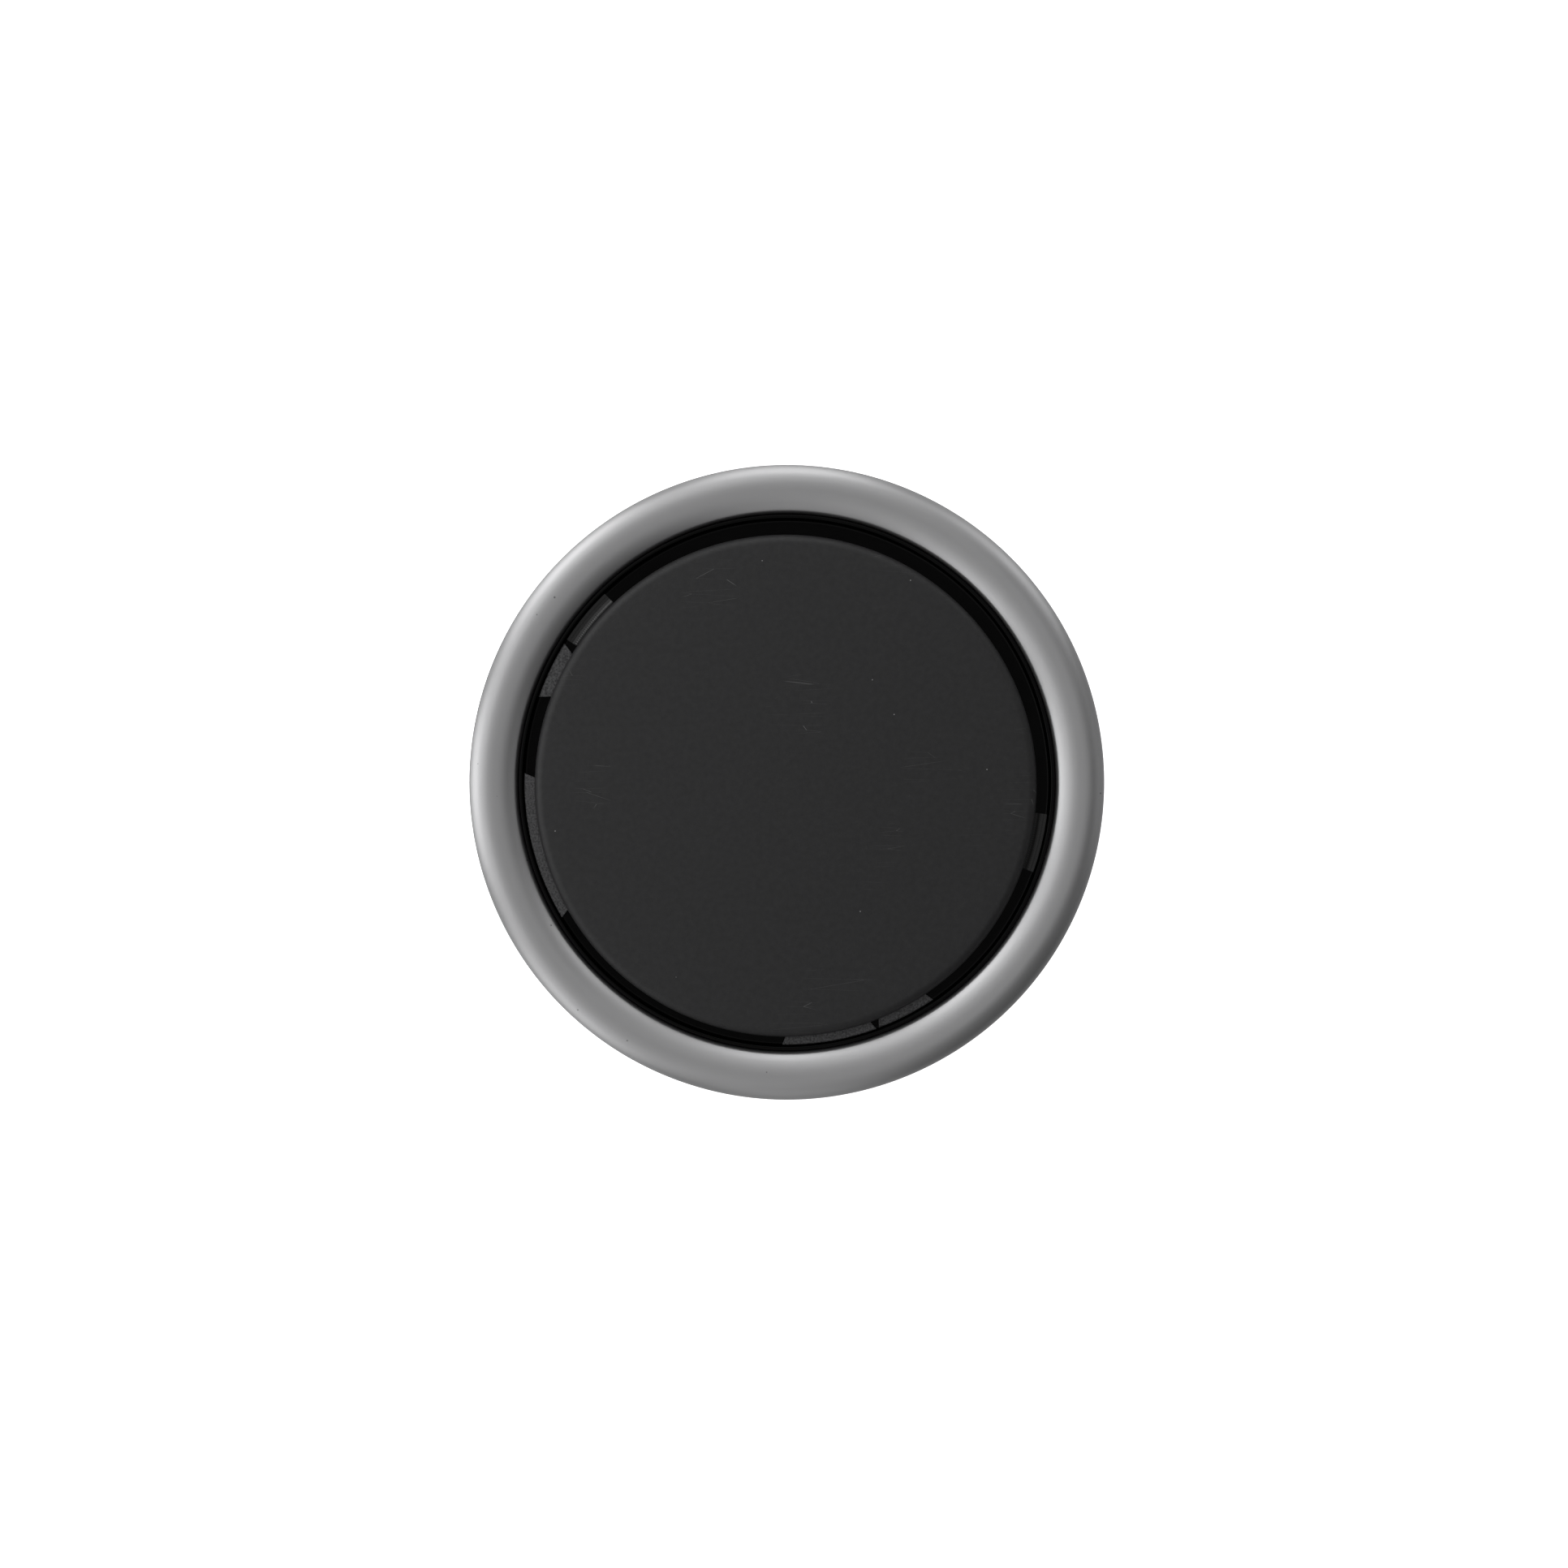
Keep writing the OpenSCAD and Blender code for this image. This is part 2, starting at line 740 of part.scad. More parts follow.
// Skirt under the disc, with windows for water and keys that drive the trip ring
module cover_skirt() {
    color(black_plastic)
        translate(cover_off) {
            difference() {
                union() {
                    ring(skirt_r, skirt_in_r, skirt_bottom, cover_z);
                    ring(skirt_r - eps, skirt_flange_in_r, cover_z - skirt_flange_t, cover_z);
                }
                around(window_count)
                    sector_block(2 * skirt_r, 1, -window_a / 2, window_a / 2,
                                 trip_top + window_gap, cover_z - seal_h - seal_lip_h - window_gap / 2);
                around(cover_screw_count)
                    translate([cover_screw_r, 0, cover_z - skirt_flange_t - eps])
                        cylinder(d = cover_screw_d + nest_gap, h = skirt_flange_t + 2 * eps);
            }
            around(key_count, key_first_a)
                translate([skirt_r - skirt_wall / 2, -key_w / 2, skirt_bottom])
                    cube([key_h + skirt_wall / 2, key_w, key_t]);
        }
}

// Rubber ring that wipes the liner
module cover_seal() {
    color(rubber)
        translate(cover_off) {
            ring(skirt_r + seal_w, skirt_r + nest_gap / 2, cover_z - seal_h, cover_z);
            ring(skirt_r + seal_w, skirt_r + seal_w - seal_lip_t,
                 cover_z - seal_h - seal_lip_h, cover_z - seal_h + eps);
        }
}

module cover_screws() {
    color(zinc)
        translate(cover_off)
            around(cover_screw_count)
                translate([cover_screw_r, 0, 0])
                    rotate([180, 0, 0])
                        screw(-cover_z + skirt_flange_t, cover_screw_d, cover_screw_l,
                              cover_screw_d, cover_screw_head_h);
}

// Radius of the cam at angle a, where 0 is its low end and start_turn its high end
function cam_r(a) = cam_low_r + cam_rise * a / start_turn;

// Ring that the cover's keys turn; its spiral cam pushes the switch plunger out
module trip_ring() {
    cam_steps = ceil(start_turn / cam_step);
    color(grey_plastic)
        translate([cover_off[0], cover_off[1], trip_z])
            linear_extrude(trip_h)
                difference() {
                    circle(trip_r);
                    circle(trip_in_r);
                    around(key_count, key_first_a)
                        translate([trip_in_r - notch_depth, -key_w / 2 - move_gap])
                            square([2 * notch_depth, key_w + 2 * move_gap]);
                    polygon(concat(
                        [for (i = [0 : cam_steps])
                            polar(cam_r(start_turn * i / cam_steps), pod_a - start_turn * i / cam_steps)],
                        [polar(trip_r + cam_depth, pod_a - start_turn),
                         polar(trip_r + cam_depth, pod_a - start_turn / 2),
                         polar(trip_r + cam_depth, pod_a),
                         polar(trip_r + cam_depth, pod_a + cam_lead),
                         polar(cam_low_r, pod_a + cam_lead)]
                    ));
                }
}

module trip_ring_clip() {
    color(steel)
        translate([0, 0, clip_z])
            rotate([0, 0, 10])
                rotate_extrude(angle = 340)
                    translate([neck_in_r - clip_w - nest_gap / 4, 0]) square([clip_w, clip_t]);
}

// Pin that the cam pushes out through the neck to work the switch
module switch_plunger() {
    color(grey_plastic)
        outward(pod_a, plunger_z) {
            translate([0, 0, plunger_x]) cylinder(r = plunger_r, h = plunger_l);
            translate([0, 0, plunger_x + plunger_l - eps])
                cylinder(r = plunger_collar_r, h = plunger_collar_t + eps);
        }
}

// A block in the pod's own directions: outward, across and up
module pod_block(x0, x1, half_w, z0, z1) {
    rotate([0, 0, pod_a])
        translate([x0, -half_w, z0]) cube([x1 - x0, 2 * half_w, z1 - z0]);
}

// Places of the pod cover's screws
module at_pod_screws(x) {
    for (side = [-1, 1])
        rotate([0, 0, pod_a])
            translate([x, side * (pod_half_w - pod_screw_inset),
                       plunger_z + (side > 0 ? pod_above : -pod_below) - side * pod_screw_inset])
                rotate([0, 90, 0]) children();
}

module switch_pod() {
    color(black_plastic)
        difference() {
            union() {
                difference() {
                    pod_block(neck_in_r + neck_wall / 2, pod_x + pod_depth, pod_half_w,
                              plunger_z - pod_below, plunger_z + pod_above);
                    pod_block(0, pod_x + pod_depth + eps, pod_half_w - pod_wall,
                              plunger_z - pod_below + pod_wall, plunger_z + pod_above - pod_wall);
                }
                at_pod_screws(pod_x + pod_depth - 6) cylinder(d = 2 * pod_screw_d, h = 6);
            }
            plate(pod_x, plunger_z - 2 * pod_below, plunger_z + 2 * pod_above);
            at_pod_screws(pod_x + pod_depth - 7) cylinder(d = pod_screw_d + nest_gap, h = 8);
        }
}

module pod_cover() {
    color(black_plastic)
        difference() {
            pod_block(pod_x + pod_depth, pod_x + pod_depth + pod_cover_t, pod_half_w,
                      plunger_z - pod_below, plunger_z + pod_above);
            at_pod_screws(pod_x + pod_depth - eps)
                cylinder(d = pod_screw_d + nest_gap, h = pod_cover_t + 2 * eps);
        }
}

module pod_screws() {
    color(zinc)
        at_pod_screws(pod_x + pod_depth + pod_cover_t)
            screw(0, pod_screw_d, pod_cover_t + 5, pod_screw_d - 0.4, 1.6);
}

// Snap switch with its contact tags
module microswitch() {
    color(grey_plastic) {
        pod_block(switch_x, switch_x + switch_depth, switch_half_w,
                  plunger_z - switch_half_h, plunger_z + switch_half_h);
        for (side = [-1, 1])
            rotate([0, 0, pod_a])
                translate([switch_x + switch_depth / 2, side * switch_half_w / 2 - 1,
                           plunger_z - switch_half_h - switch_tag_l])
                    cube([0.8, 2, switch_tag_l + eps]);
    }
}

// Moulded hopper: lip, neck with a ledge for the trip ring, shoulder, flange and inlet
module hopper() {
    shoulder_out_r = grind_out_r - 1;
    shoulder_in_r = shredder_in_r + 1;
    lower_neck_z = trip_ledge_top - trip_ledge_t;
    color(grey_plastic)
        difference() {
            union() {
                rotate_extrude()
                    polygon([
                        [neck_in_r, hopper_top],
                        [hopper_lip_r, hopper_top],
                        [hopper_lip_r, hopper_lip_z],
                        [neck_r, hopper_lip_z],
                        [neck_r, shoulder_top],
                        [shoulder_out_r, joint_z + flange_t],
                        [joint_r, joint_z + flange_t],
                        [joint_r, joint_z],
                        [shoulder_in_r, joint_z],
                        [neck_in_r, shoulder_top - neck_wall],
                        [neck_in_r, lower_neck_z],
                        [trip_ledge_r, lower_neck_z],
                        [trip_ledge_r, trip_ledge_top],
                        [neck_in_r, trip_ledge_top]
                    ]);
                outward(inlet_a, inlet_z)
                    translate([0, 0, neck_r - neck_wall / 2]) {
                        cylinder(d = inlet_d, h = inlet_out + neck_wall / 2);
                        cylinder(r = inlet_collar_r, h = inlet_collar_out + neck_wall / 2);
                    }
            }
            outward(inlet_a, inlet_z)
                translate([0, 0, neck_in_r - neck_wall]) cylinder(d = inlet_bore_d, h = inlet_end);
            outward(pod_a, plunger_z)
                translate([0, 0, neck_in_r - neck_wall])
                    cylinder(r = plunger_r + run_gap, h = 3 * neck_wall);
            around(hopper_screw_count, hopper_screw_first_a)
                translate([hopper_screw_r, 0, joint_z - eps])
                    cylinder(d = hopper_screw_d + nest_gap, h = 4 * flange_t);
            around(hopper_screw_count, hopper_screw_first_a)
                translate([hopper_screw_r, 0, joint_z + flange_t])
                    cylinder(r = hopper_screw_d + nest_gap, h = 4 * flange_t);
        }
}

// Plug that is knocked out when a dishwasher is connected
module inlet_plug() {
    color(grey_plastic)
        outward(inlet_a, inlet_z)
            translate([0, 0, neck_r])
                cylinder(d = inlet_bore_d - nest_gap / 2, h = inlet_plug_t);
}

module hopper_gasket() {
    color(rubber)
        difference() {
            ring(joint_r - nest_gap, grind_in_r + nest_gap, grind_top, joint_z);
            around(hopper_screw_count, hopper_screw_first_a)
                translate([hopper_screw_r, 0, grind_top - eps])
                    cylinder(d = hopper_screw_d + nest_gap, h = 2 * hopper_gasket_t);
        }
}

module hopper_screws() {
    color(zinc)
        around(hopper_screw_count, hopper_screw_first_a)
            translate([hopper_screw_r, 0, 0])
                screw(joint_z + flange_t, hopper_screw_d, 2 * flange_t + hopper_gasket_t,
                      hopper_screw_d - nest_gap, hopper_screw_head_h);
}

// Outline of the outlet's flange: a disc with two ears
module outlet_outline() {
    circle(outlet_out_r + outlet_rim_w);
    square([2 * outlet_ear_r, outlet_bolt_span], center = true);
    for (side = [-1, 1]) translate([0, side * outlet_bolt_span / 2]) circle(outlet_ear_r);
}

// Cast housing: flange, ledge for the shredder ring, drain chamber and outlet spout
module grind_housing() {
    color(cast_grey)
        difference() {
            union() {
                rotate_extrude()
                    polygon([
                        [grind_in_r, grind_top],
                        [joint_r, grind_top],
                        [joint_r, grind_top - flange_t],
                        [grind_out_r, grind_top - flange_t],
                        [grind_out_r, grind_z],
                        [bush_r + nest_gap, grind_z],
                        [bush_r + nest_gap, drain_z + floor_t],
                        [seal_boss_r + seal_boss_wall, drain_z + floor_t],
                        [seal_boss_r + seal_boss_wall, drain_z],
                        [grind_in_r, drain_z],
                        [grind_in_r, ring_foot_z - ledge_h],
                        [grind_in_r - ledge_depth, ring_foot_z - ledge_h],
                        [grind_in_r - ledge_depth, ring_foot_z],
                        [grind_in_r, ring_foot_z]
                    ]);
                outward(0, outlet_z)
                    translate([0, 0, grind_in_r + grind_wall / 3])
                        cylinder(r = outlet_out_r, h = outlet_x - grind_in_r - grind_wall / 3);
                outward(0, outlet_z)
                    translate([0, 0, outlet_x - outlet_flange_t])
                        linear_extrude(outlet_flange_t) outlet_outline();
            }
            outward(0, outlet_z)
                translate([0, 0, grind_in_r / 2]) cylinder(d = outlet_d, h = outlet_x);
            for (side = [-1, 1])
                translate([0, side * outlet_bolt_span / 2, 0])
                    outward(0, outlet_z)
                        translate([0, 0, outlet_x - outlet_flange_t - eps])
                            cylinder(d = outlet_hole_d, h = outlet_flange_t + 2 * eps);
            around(hopper_screw_count, hopper_screw_first_a)
                translate([hopper_screw_r, 0, grind_top - flange_t - eps])
                    cylinder(d = hopper_screw_d, h = flange_t + 2 * eps);
        }
}

// Hard ring with notches that the impellers grind against
module shredder_ring() {
    color(steel)
        difference() {
            ring(shredder_r, shredder_in_r, ring_foot_z, ring_foot_z + shredder_h);
            around(notch_count)
                translate([shredder_in_r - shredder_notch_d, -shredder_notch_w / 2,
                           ring_foot_z - eps])
                    cube([2 * shredder_notch_d, shredder_notch_w,
                          shredder_h - shredder_notch_top]);
        }
}

// Plate that spins the impellers
module turntable() {
    color(steel)
        difference() {
            union() {
                plate(table_r, table_z, table_top);
                plate(table_hub_r, table_z - table_hub_h, table_z + eps);
            }
            plate(shaft_r, table_z - table_hub_h - eps, table_top + eps);
            around(2)
                translate([pivot_r, 0, table_z - eps]) cylinder(d = rivet_d, h = table_t + 2 * eps);
            around(4, 45)
                translate([pivot_r, 0, table_z - eps])
                    cylinder(r = drain_hole_r, h = table_t + 2 * eps);
        }
}

module turntable_nut() {
    color(zinc)
        difference() {
            translate([0, 0, table_top]) cylinder(r = nut_r, h = nut_h, $fn = 6);
            plate(shaft_r, table_top - eps, table_top + nut_h + eps);
        }
}

// Swivelling lug: an eye round the rivet and a raised striking end
module impeller() {
    foot_h = impeller_h / 2;
    translate([pivot_r, 0, impeller_z])
        difference() {
            union() {
                linear_extrude(foot_h) {
                    circle(impeller_eye_r);
                    translate([0, -impeller_tip_r])
                        square([impeller_reach - impeller_tip_r, 2 * impeller_tip_r]);
                    translate([impeller_reach - impeller_tip_r, 0]) circle(impeller_tip_r);
                }
                linear_extrude(impeller_h)
                    difference() {
                        translate([impeller_reach - impeller_tip_r, 0]) circle(impeller_tip_r);
                        circle(rivet_head_r + 2 * move_gap);
                    }
            }
            translate([0, 0, -eps])
                cylinder(d = rivet_d + 2 * run_gap, h = impeller_h + 2 * eps);
        }
}

module impeller_a() {
    color(steel) impeller();
}

module impeller_b() {
    color(steel) rotate([0, 0, 180]) impeller();
}

module impeller_rivets() {
    neck_top = impeller_z + impeller_h / 2 + move_gap;
    color(zinc)
        around(2)
            translate([pivot_r, 0, 0]) {
                translate([0, 0, table_z]) cylinder(d = rivet_d, h = neck_top - table_z + eps);
                translate([0, 0, neck_top]) cylinder(r = rivet_head_r, h = rivet_head_t);
            }
}

// Shaft, with a hex socket in its lower end for freeing a jam
module rotor_shaft() {
    color(steel)
        difference() {
            plate(shaft_r, shaft_bottom, shaft_top);
            translate([0, 0, shaft_bottom - eps])
                cylinder(d = wrench_af / cos(30), h = socket_depth, $fn = 6);
        }
}

module water_slinger() {
    color(rubber) ring(slinger_r, shaft_r, slinger_z, slinger_z + slinger_t);
}

// Lip seal in the housing's boss
module shaft_seal() {
    color(rubber)
        ring(bush_r, bush_in_r, grind_z, drain_z + floor_t);
}

// An end bell: a plate with a boss that points into the motor when dir is 1
module end_bell(z, dir) {
    boss_z = dir > 0 ? z + bell_t : z - bell_boss_h;
    difference() {
        union() {
            plate(bell_r, z, z + bell_t);
            plate(bell_boss_r, boss_z - eps, boss_z + bell_boss_h + eps);
        }
        plate(bush_r, z - bush_h, z + 2 * bush_h);
        around(bolt_count, bolt_first_a)
            translate([bolt_r, 0, z - eps]) cylinder(d = bolt_d + nest_gap, h = bell_t + 2 * eps);
    }
}

module upper_end_bell() {
    color(cast_grey) end_bell(grind_z - bell_t, -1);
}

module upper_bush() {
    color(bronze) ring(bush_r, bush_in_r, grind_z - bush_h, grind_z);
}

module lower_end_bell() {
    color(cast_grey)
        difference() {
            end_bell(motor_z, 1);
            around(base_screw_count, base_screw_first_a)
                translate([base_screw_r, 0, motor_z - eps])
                    cylinder(d = base_screw_d, h = base_screw_grip + eps);
        }
}

module lower_bush() {
    color(bronze) ring(bush_r, bush_in_r, motor_z, motor_z + bush_h);
}

// Washers on the shaft beside the two bushes
module thrust_washers() {
    color(bronze) {
        ring(washer_r, shaft_r, grind_z - bush_h - move_gap - washer_t, grind_z - bush_h - move_gap);
        ring(washer_r, shaft_r, motor_z + bush_h + move_gap, motor_z + bush_h + move_gap + washer_t);
    }
}

module rotor_core() {
    color(steel) ring(rotor_r, shaft_r, stack_z, stack_top);
}

// Cast aluminium rings that join the rotor's bars
module rotor_end_rings() {
    color(zinc) {
        ring(rotor_r - 1, rotor_r - end_ring_w, stack_top, stack_top + end_ring_h);
        ring(rotor_r - 1, rotor_r - end_ring_w, stack_z - end_ring_h, stack_z);
    }
}

// Laminated core with a slot for each winding
module stator_core() {
    color(zinc)
        translate([0, 0, stack_z])
            linear_extrude(stack_h)
                difference() {
                    circle(stator_r);
                    circle(stator_in_r);
                    around(slot_count) {
                        translate([stator_in_r - 1, -slot_mouth / 2]) square([4, slot_mouth]);
                        translate([stator_in_r + 2, -slot_w / 2]) square([slot_depth, slot_w]);
                    }
                }
}

// End turns of the windings, above and below the core
module end_turn() {
    r0 = stator_in_r + end_turn_inset;
    r1 = stator_r - end_turn_inset;
    rotate_extrude() {
        translate([r0, 0]) square([r1 - r0, end_turn_h - end_turn_round]);
        translate([r0 + end_turn_round, 0]) square([r1 - r0 - 2 * end_turn_round, end_turn_h]);
        for (r = [r0 + end_turn_round, r1 - end_turn_round])
            translate([r, end_turn_h - end_turn_round]) circle(end_turn_round);
    }
}

module stator_windings() {
    color(copper) {
        translate([0, 0, stack_top]) end_turn();
        translate([0, 0, stack_z]) rotate([180, 0, 0]) end_turn();
    }
}

module motor_shell() {
    color(steel) ring(motor_shell_r, motor_in_r, motor_z, grind_z);
}

// Long bolts that hold the end bells to the stator
module through_bolts() {
    color(steel)
        around(bolt_count, bolt_first_a)
            translate([bolt_r, 0, 0])
                rotate([180, 0, 0])
                    screw(-motor_z, bolt_d, motor_h, bolt_d - nest_gap, bolt_head_h);
}

// Room for the outlet's flange in the wrappings around it
module outlet_window() {
    translate([body_r / 2, -outlet_window_w, outlet_z - outlet_window_h])
        cube([body_r, 2 * outlet_window_w, 2 * outlet_window_h]);
}

module sound_jacket() {
    color(foam_grey)
        difference() {
            ring(jacket_out_r, jacket_in_r, base_top, grind_top - flange_t - nest_gap);
            outlet_window();
        }
}

// Stainless trim shell with a rounded shoulder
module trim_shell() {
    shoulder_r = 2;
    color(steel)
        difference() {
            rotate_extrude() {
                translate([shell_in_r, base_top]) square([shell_t, shell_top - shoulder_r - base_top]);
                translate([joint_r + nest_gap, shell_top - shell_t])
                    square([body_r - shoulder_r - joint_r - nest_gap, shell_t]);
                translate([body_r - shoulder_r, shell_top - shoulder_r])
                    intersection() {
                        difference() {
                            circle(shoulder_r);
                            circle(shoulder_r - shell_t);
                        }
                        square(shoulder_r);
                    }
            }
            outlet_window();
        }
}

// Base cup with its openings and screw posts
module bottom_cover() {
    color(black_plastic)
        difference() {
            union() {
                plate(body_r, base_z, floor_top);
                ring(body_r, body_r - base_wall, base_z, base_top);
                around(base_screw_count, base_screw_first_a)
                    translate([base_screw_r, 0, base_z]) cylinder(r = base_post_r, h = base_h);
            }
            plate(wrench_hole_d / 2, base_z - eps, floor_top + eps);
            at_polar(conduit_at, base_z - eps) cylinder(d = conduit_d, h = 2 * base_floor_t);
            at_polar(button_at, base_z - eps) cylinder(r = button_hole_r, h = 2 * base_floor_t);
            at_polar(plate_at, base_z - eps) {
                translate([-plate_size[0] / 2, -plate_size[1] / 2])
                    cube([plate_size[0], plate_size[1], plate_t + eps]);
                translate([-plate_size[0] / 2 + plate_lap, -plate_size[1] / 2 + plate_lap])
                    cube([plate_size[0] - 2 * plate_lap, plate_size[1] - 5 * plate_lap, 2 * base_floor_t]);
                translate([0, plate_size[1] / 2 - 2 * plate_lap])
                    cylinder(d = base_screw_d, h = 2 * base_floor_t);
            }
            around(base_screw_count, base_screw_first_a)
                translate([base_screw_r, 0, base_z - eps]) {
                    cylinder(d = base_screw_d + nest_gap, h = 2 * base_h);
                    cylinder(r = base_screw_d, h = base_floor_t + 2 * eps);
                }
        }
}

// Screws up through the base's posts, their heads sunk in the floor
module base_screws() {
    head_h = base_floor_t - 2 * nest_gap;
    color(zinc)
        around(base_screw_count, base_screw_first_a)
            translate([base_screw_r, 0, 0])
                rotate([180, 0, 0])
                    screw(-floor_top, base_screw_d, base_top - floor_top + base_screw_grip,
                          base_screw_d - nest_gap, head_h);
}

// A box that stands on the base's floor at a place
module floor_box(place, size) {
    at_polar(place, lift) translate([-size[0] / 2, -size[1] / 2]) cube(size);
}

module overload_protector() {
    cavity_h = button_travel + 1;
    color(black_plastic)
        difference() {
            at_polar(button_at, lift + 2)
                translate([-protector_size[0] / 2, -protector_size[1] / 2]) cube(protector_size);
            at_polar(button_at, lift)
                cylinder(d = button_d + 2 * run_gap, h = 2 + cavity_h);
        }
}

// Button that pops out when the motor overloads and is pressed back in
module reset_button() {
    bottom = base_z + button_recess + button_travel;
    color(button_red) at_polar(button_at, bottom) cylinder(d = button_d, h = lift + 5 - bottom);
}

module start_capacitor() {
    color(black_plastic)
        at_polar(capacitor_at, lift + capacitor_r)
            rotate([90, 0, 0])
                translate([0, 0, -capacitor_l / 2]) cylinder(r = capacitor_r, h = capacitor_l);
}

module start_relay() {
    color(grey_plastic) floor_box(relay_at, relay_size);
}

// Terminal block with a screw well for each wire
module terminal_block() {
    color(grey_plastic)
        at_polar(block_at, base_top - block_size[2])
            difference() {
                translate([-block_size[0] / 2, -block_size[1] / 2]) cube(block_size);
                for (i = [-1 : 1])
                    translate([0, i * block_size[1] / 3.4, -eps]) cylinder(r = 2.4, h = 4);
            }
}

module terminal_plate() {
    at = [plate_size[0] - 2 * nest_gap, plate_size[1] - 2 * nest_gap];
    color(zinc)
        at_polar(plate_at, base_z)
            difference() {
                translate([-at[0] / 2, -at[1] / 2]) cube([at[0], at[1], plate_t]);
                translate([0, plate_size[1] / 2 - 2 * plate_lap, -eps])
                    cylinder(d = base_screw_d, h = 2 * plate_t);
            }
}

module terminal_plate_screw() {
    color(zinc)
        at_polar(plate_at, 0)
            translate([0, plate_size[1] / 2 - 2 * plate_lap, base_z])
                cylinder(d = base_screw_d, h = base_floor_t + 2);
}

module ground_screw() {
    color(ground_green)
        at_polar(ground_at, base_top - 5) {
            translate([0, 0, 2]) cylinder(r = ground_r - 1, h = 3);
            cylinder(r = ground_r, h = 2 + eps, $fn = 6);
        }
}

sink_flange();
sink_seal();
throat_liner();
seat_pads();
cam_ramps();
fibre_gasket();
backup_flange();
upper_mount_ring();
snap_ring();
mount_screws();
lower_mount_ring();
mount_cushion();
cover_disc();
cover_skirt();
cover_seal();
cover_screws();
trip_ring();
trip_ring_clip();
switch_plunger();
switch_pod();
pod_cover();
pod_screws();
microswitch();
hopper();
inlet_plug();
hopper_gasket();
hopper_screws();
grind_housing();
shredder_ring();
turntable();
turntable_nut();
impeller_a();
impeller_b();
impeller_rivets();
rotor_shaft();
water_slinger();
shaft_seal();
upper_end_bell();
upper_bush();
rotor_core();
rotor_end_rings();
stator_core();
stator_windings();
motor_shell();
lower_end_bell();
lower_bush();
thrust_washers();
through_bolts();
sound_jacket();
trim_shell();
bottom_cover();
base_screws();
overload_protector();
reset_button();
start_capacitor();
start_relay();
terminal_block();
terminal_plate();
terminal_plate_screw();
ground_screw();
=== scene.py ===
# %% [markdown]
# # A kitchen garbage disposal, dressed for the studio
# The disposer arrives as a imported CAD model. This script keeps that model as its frame, gives every
# part the finish of the real one, and makes smooth new surfaces for the parts that show most.
# Everything is in metres, the throat's axis is Z, and the sink's surface is z = 0.

import json
import math

import bmesh
import bpy
import numpy as np
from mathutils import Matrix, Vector


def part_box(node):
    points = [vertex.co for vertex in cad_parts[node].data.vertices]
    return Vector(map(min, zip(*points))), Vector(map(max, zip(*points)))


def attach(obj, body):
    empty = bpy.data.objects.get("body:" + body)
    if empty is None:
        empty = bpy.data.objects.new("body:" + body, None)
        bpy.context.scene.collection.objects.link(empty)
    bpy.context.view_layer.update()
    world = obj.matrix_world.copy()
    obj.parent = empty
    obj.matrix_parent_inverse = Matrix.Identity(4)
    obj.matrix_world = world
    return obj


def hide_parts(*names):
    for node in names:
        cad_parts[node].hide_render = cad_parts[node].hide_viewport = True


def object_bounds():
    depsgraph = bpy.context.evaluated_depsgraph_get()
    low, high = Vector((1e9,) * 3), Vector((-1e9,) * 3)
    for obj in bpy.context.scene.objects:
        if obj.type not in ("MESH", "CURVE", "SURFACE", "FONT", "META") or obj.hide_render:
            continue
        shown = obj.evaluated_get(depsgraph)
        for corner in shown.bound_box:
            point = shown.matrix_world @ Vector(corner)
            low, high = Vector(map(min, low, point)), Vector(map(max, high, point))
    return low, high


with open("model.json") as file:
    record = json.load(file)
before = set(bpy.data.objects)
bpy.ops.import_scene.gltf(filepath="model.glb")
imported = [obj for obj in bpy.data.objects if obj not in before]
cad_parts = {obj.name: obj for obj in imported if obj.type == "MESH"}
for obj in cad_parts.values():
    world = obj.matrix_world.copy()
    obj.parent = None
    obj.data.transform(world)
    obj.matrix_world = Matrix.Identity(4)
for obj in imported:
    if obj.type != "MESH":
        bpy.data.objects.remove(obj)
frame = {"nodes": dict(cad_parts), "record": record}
cad_low, cad_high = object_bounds()

# %% [markdown]
# ## Units and boxes
# Real parts are measured in millimetres, so sizes are written in millimetres and turned to metres
# once, here. A CAD part's own box says where it is, and a new surface takes its place from that box.

# %% Units and boxes
MM = 0.001


def span(node):
    """Lowest and highest corner of a CAD part, in millimetres."""
    low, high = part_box(node)
    return np.array(low) / MM, np.array(high) / MM


def radius_of(node):
    """Outer radius of a round CAD part about its own middle, in millimetres."""
    low, high = span(node)
    return max(high[0] - low[0], high[1] - low[1]) / 2


def reach_of(node):
    """How far a CAD part reaches from the throat's axis along X or Y, in millimetres."""
    return max(abs(v) for corner in span(node) for v in corner[:2])


rim_low, rim_high = span("sink_flange")
rim_r = radius_of("sink_flange")
print("rim radius", round(rim_r, 2), "mm, crest at", round(rim_high[2], 2), "mm")

# %% [markdown]
# ## The camera
# The camera hangs straight above the mouth, as for a catalogue picture taken on a copy stand. It is
# about 300 mm above the rim, so anything lower than the rim looks smaller and hides under it. The
# lens is worked out from how much of the sink's surface fits in the frame.

# %% Hang the camera over the mouth
CAMERA_HEIGHT = 307.0
RIM_PLANE = 5.1
FRAME_WIDTH = 281.93
SENSOR = 36.0
CAMERA_SIDE = (-0.50, -0.30)

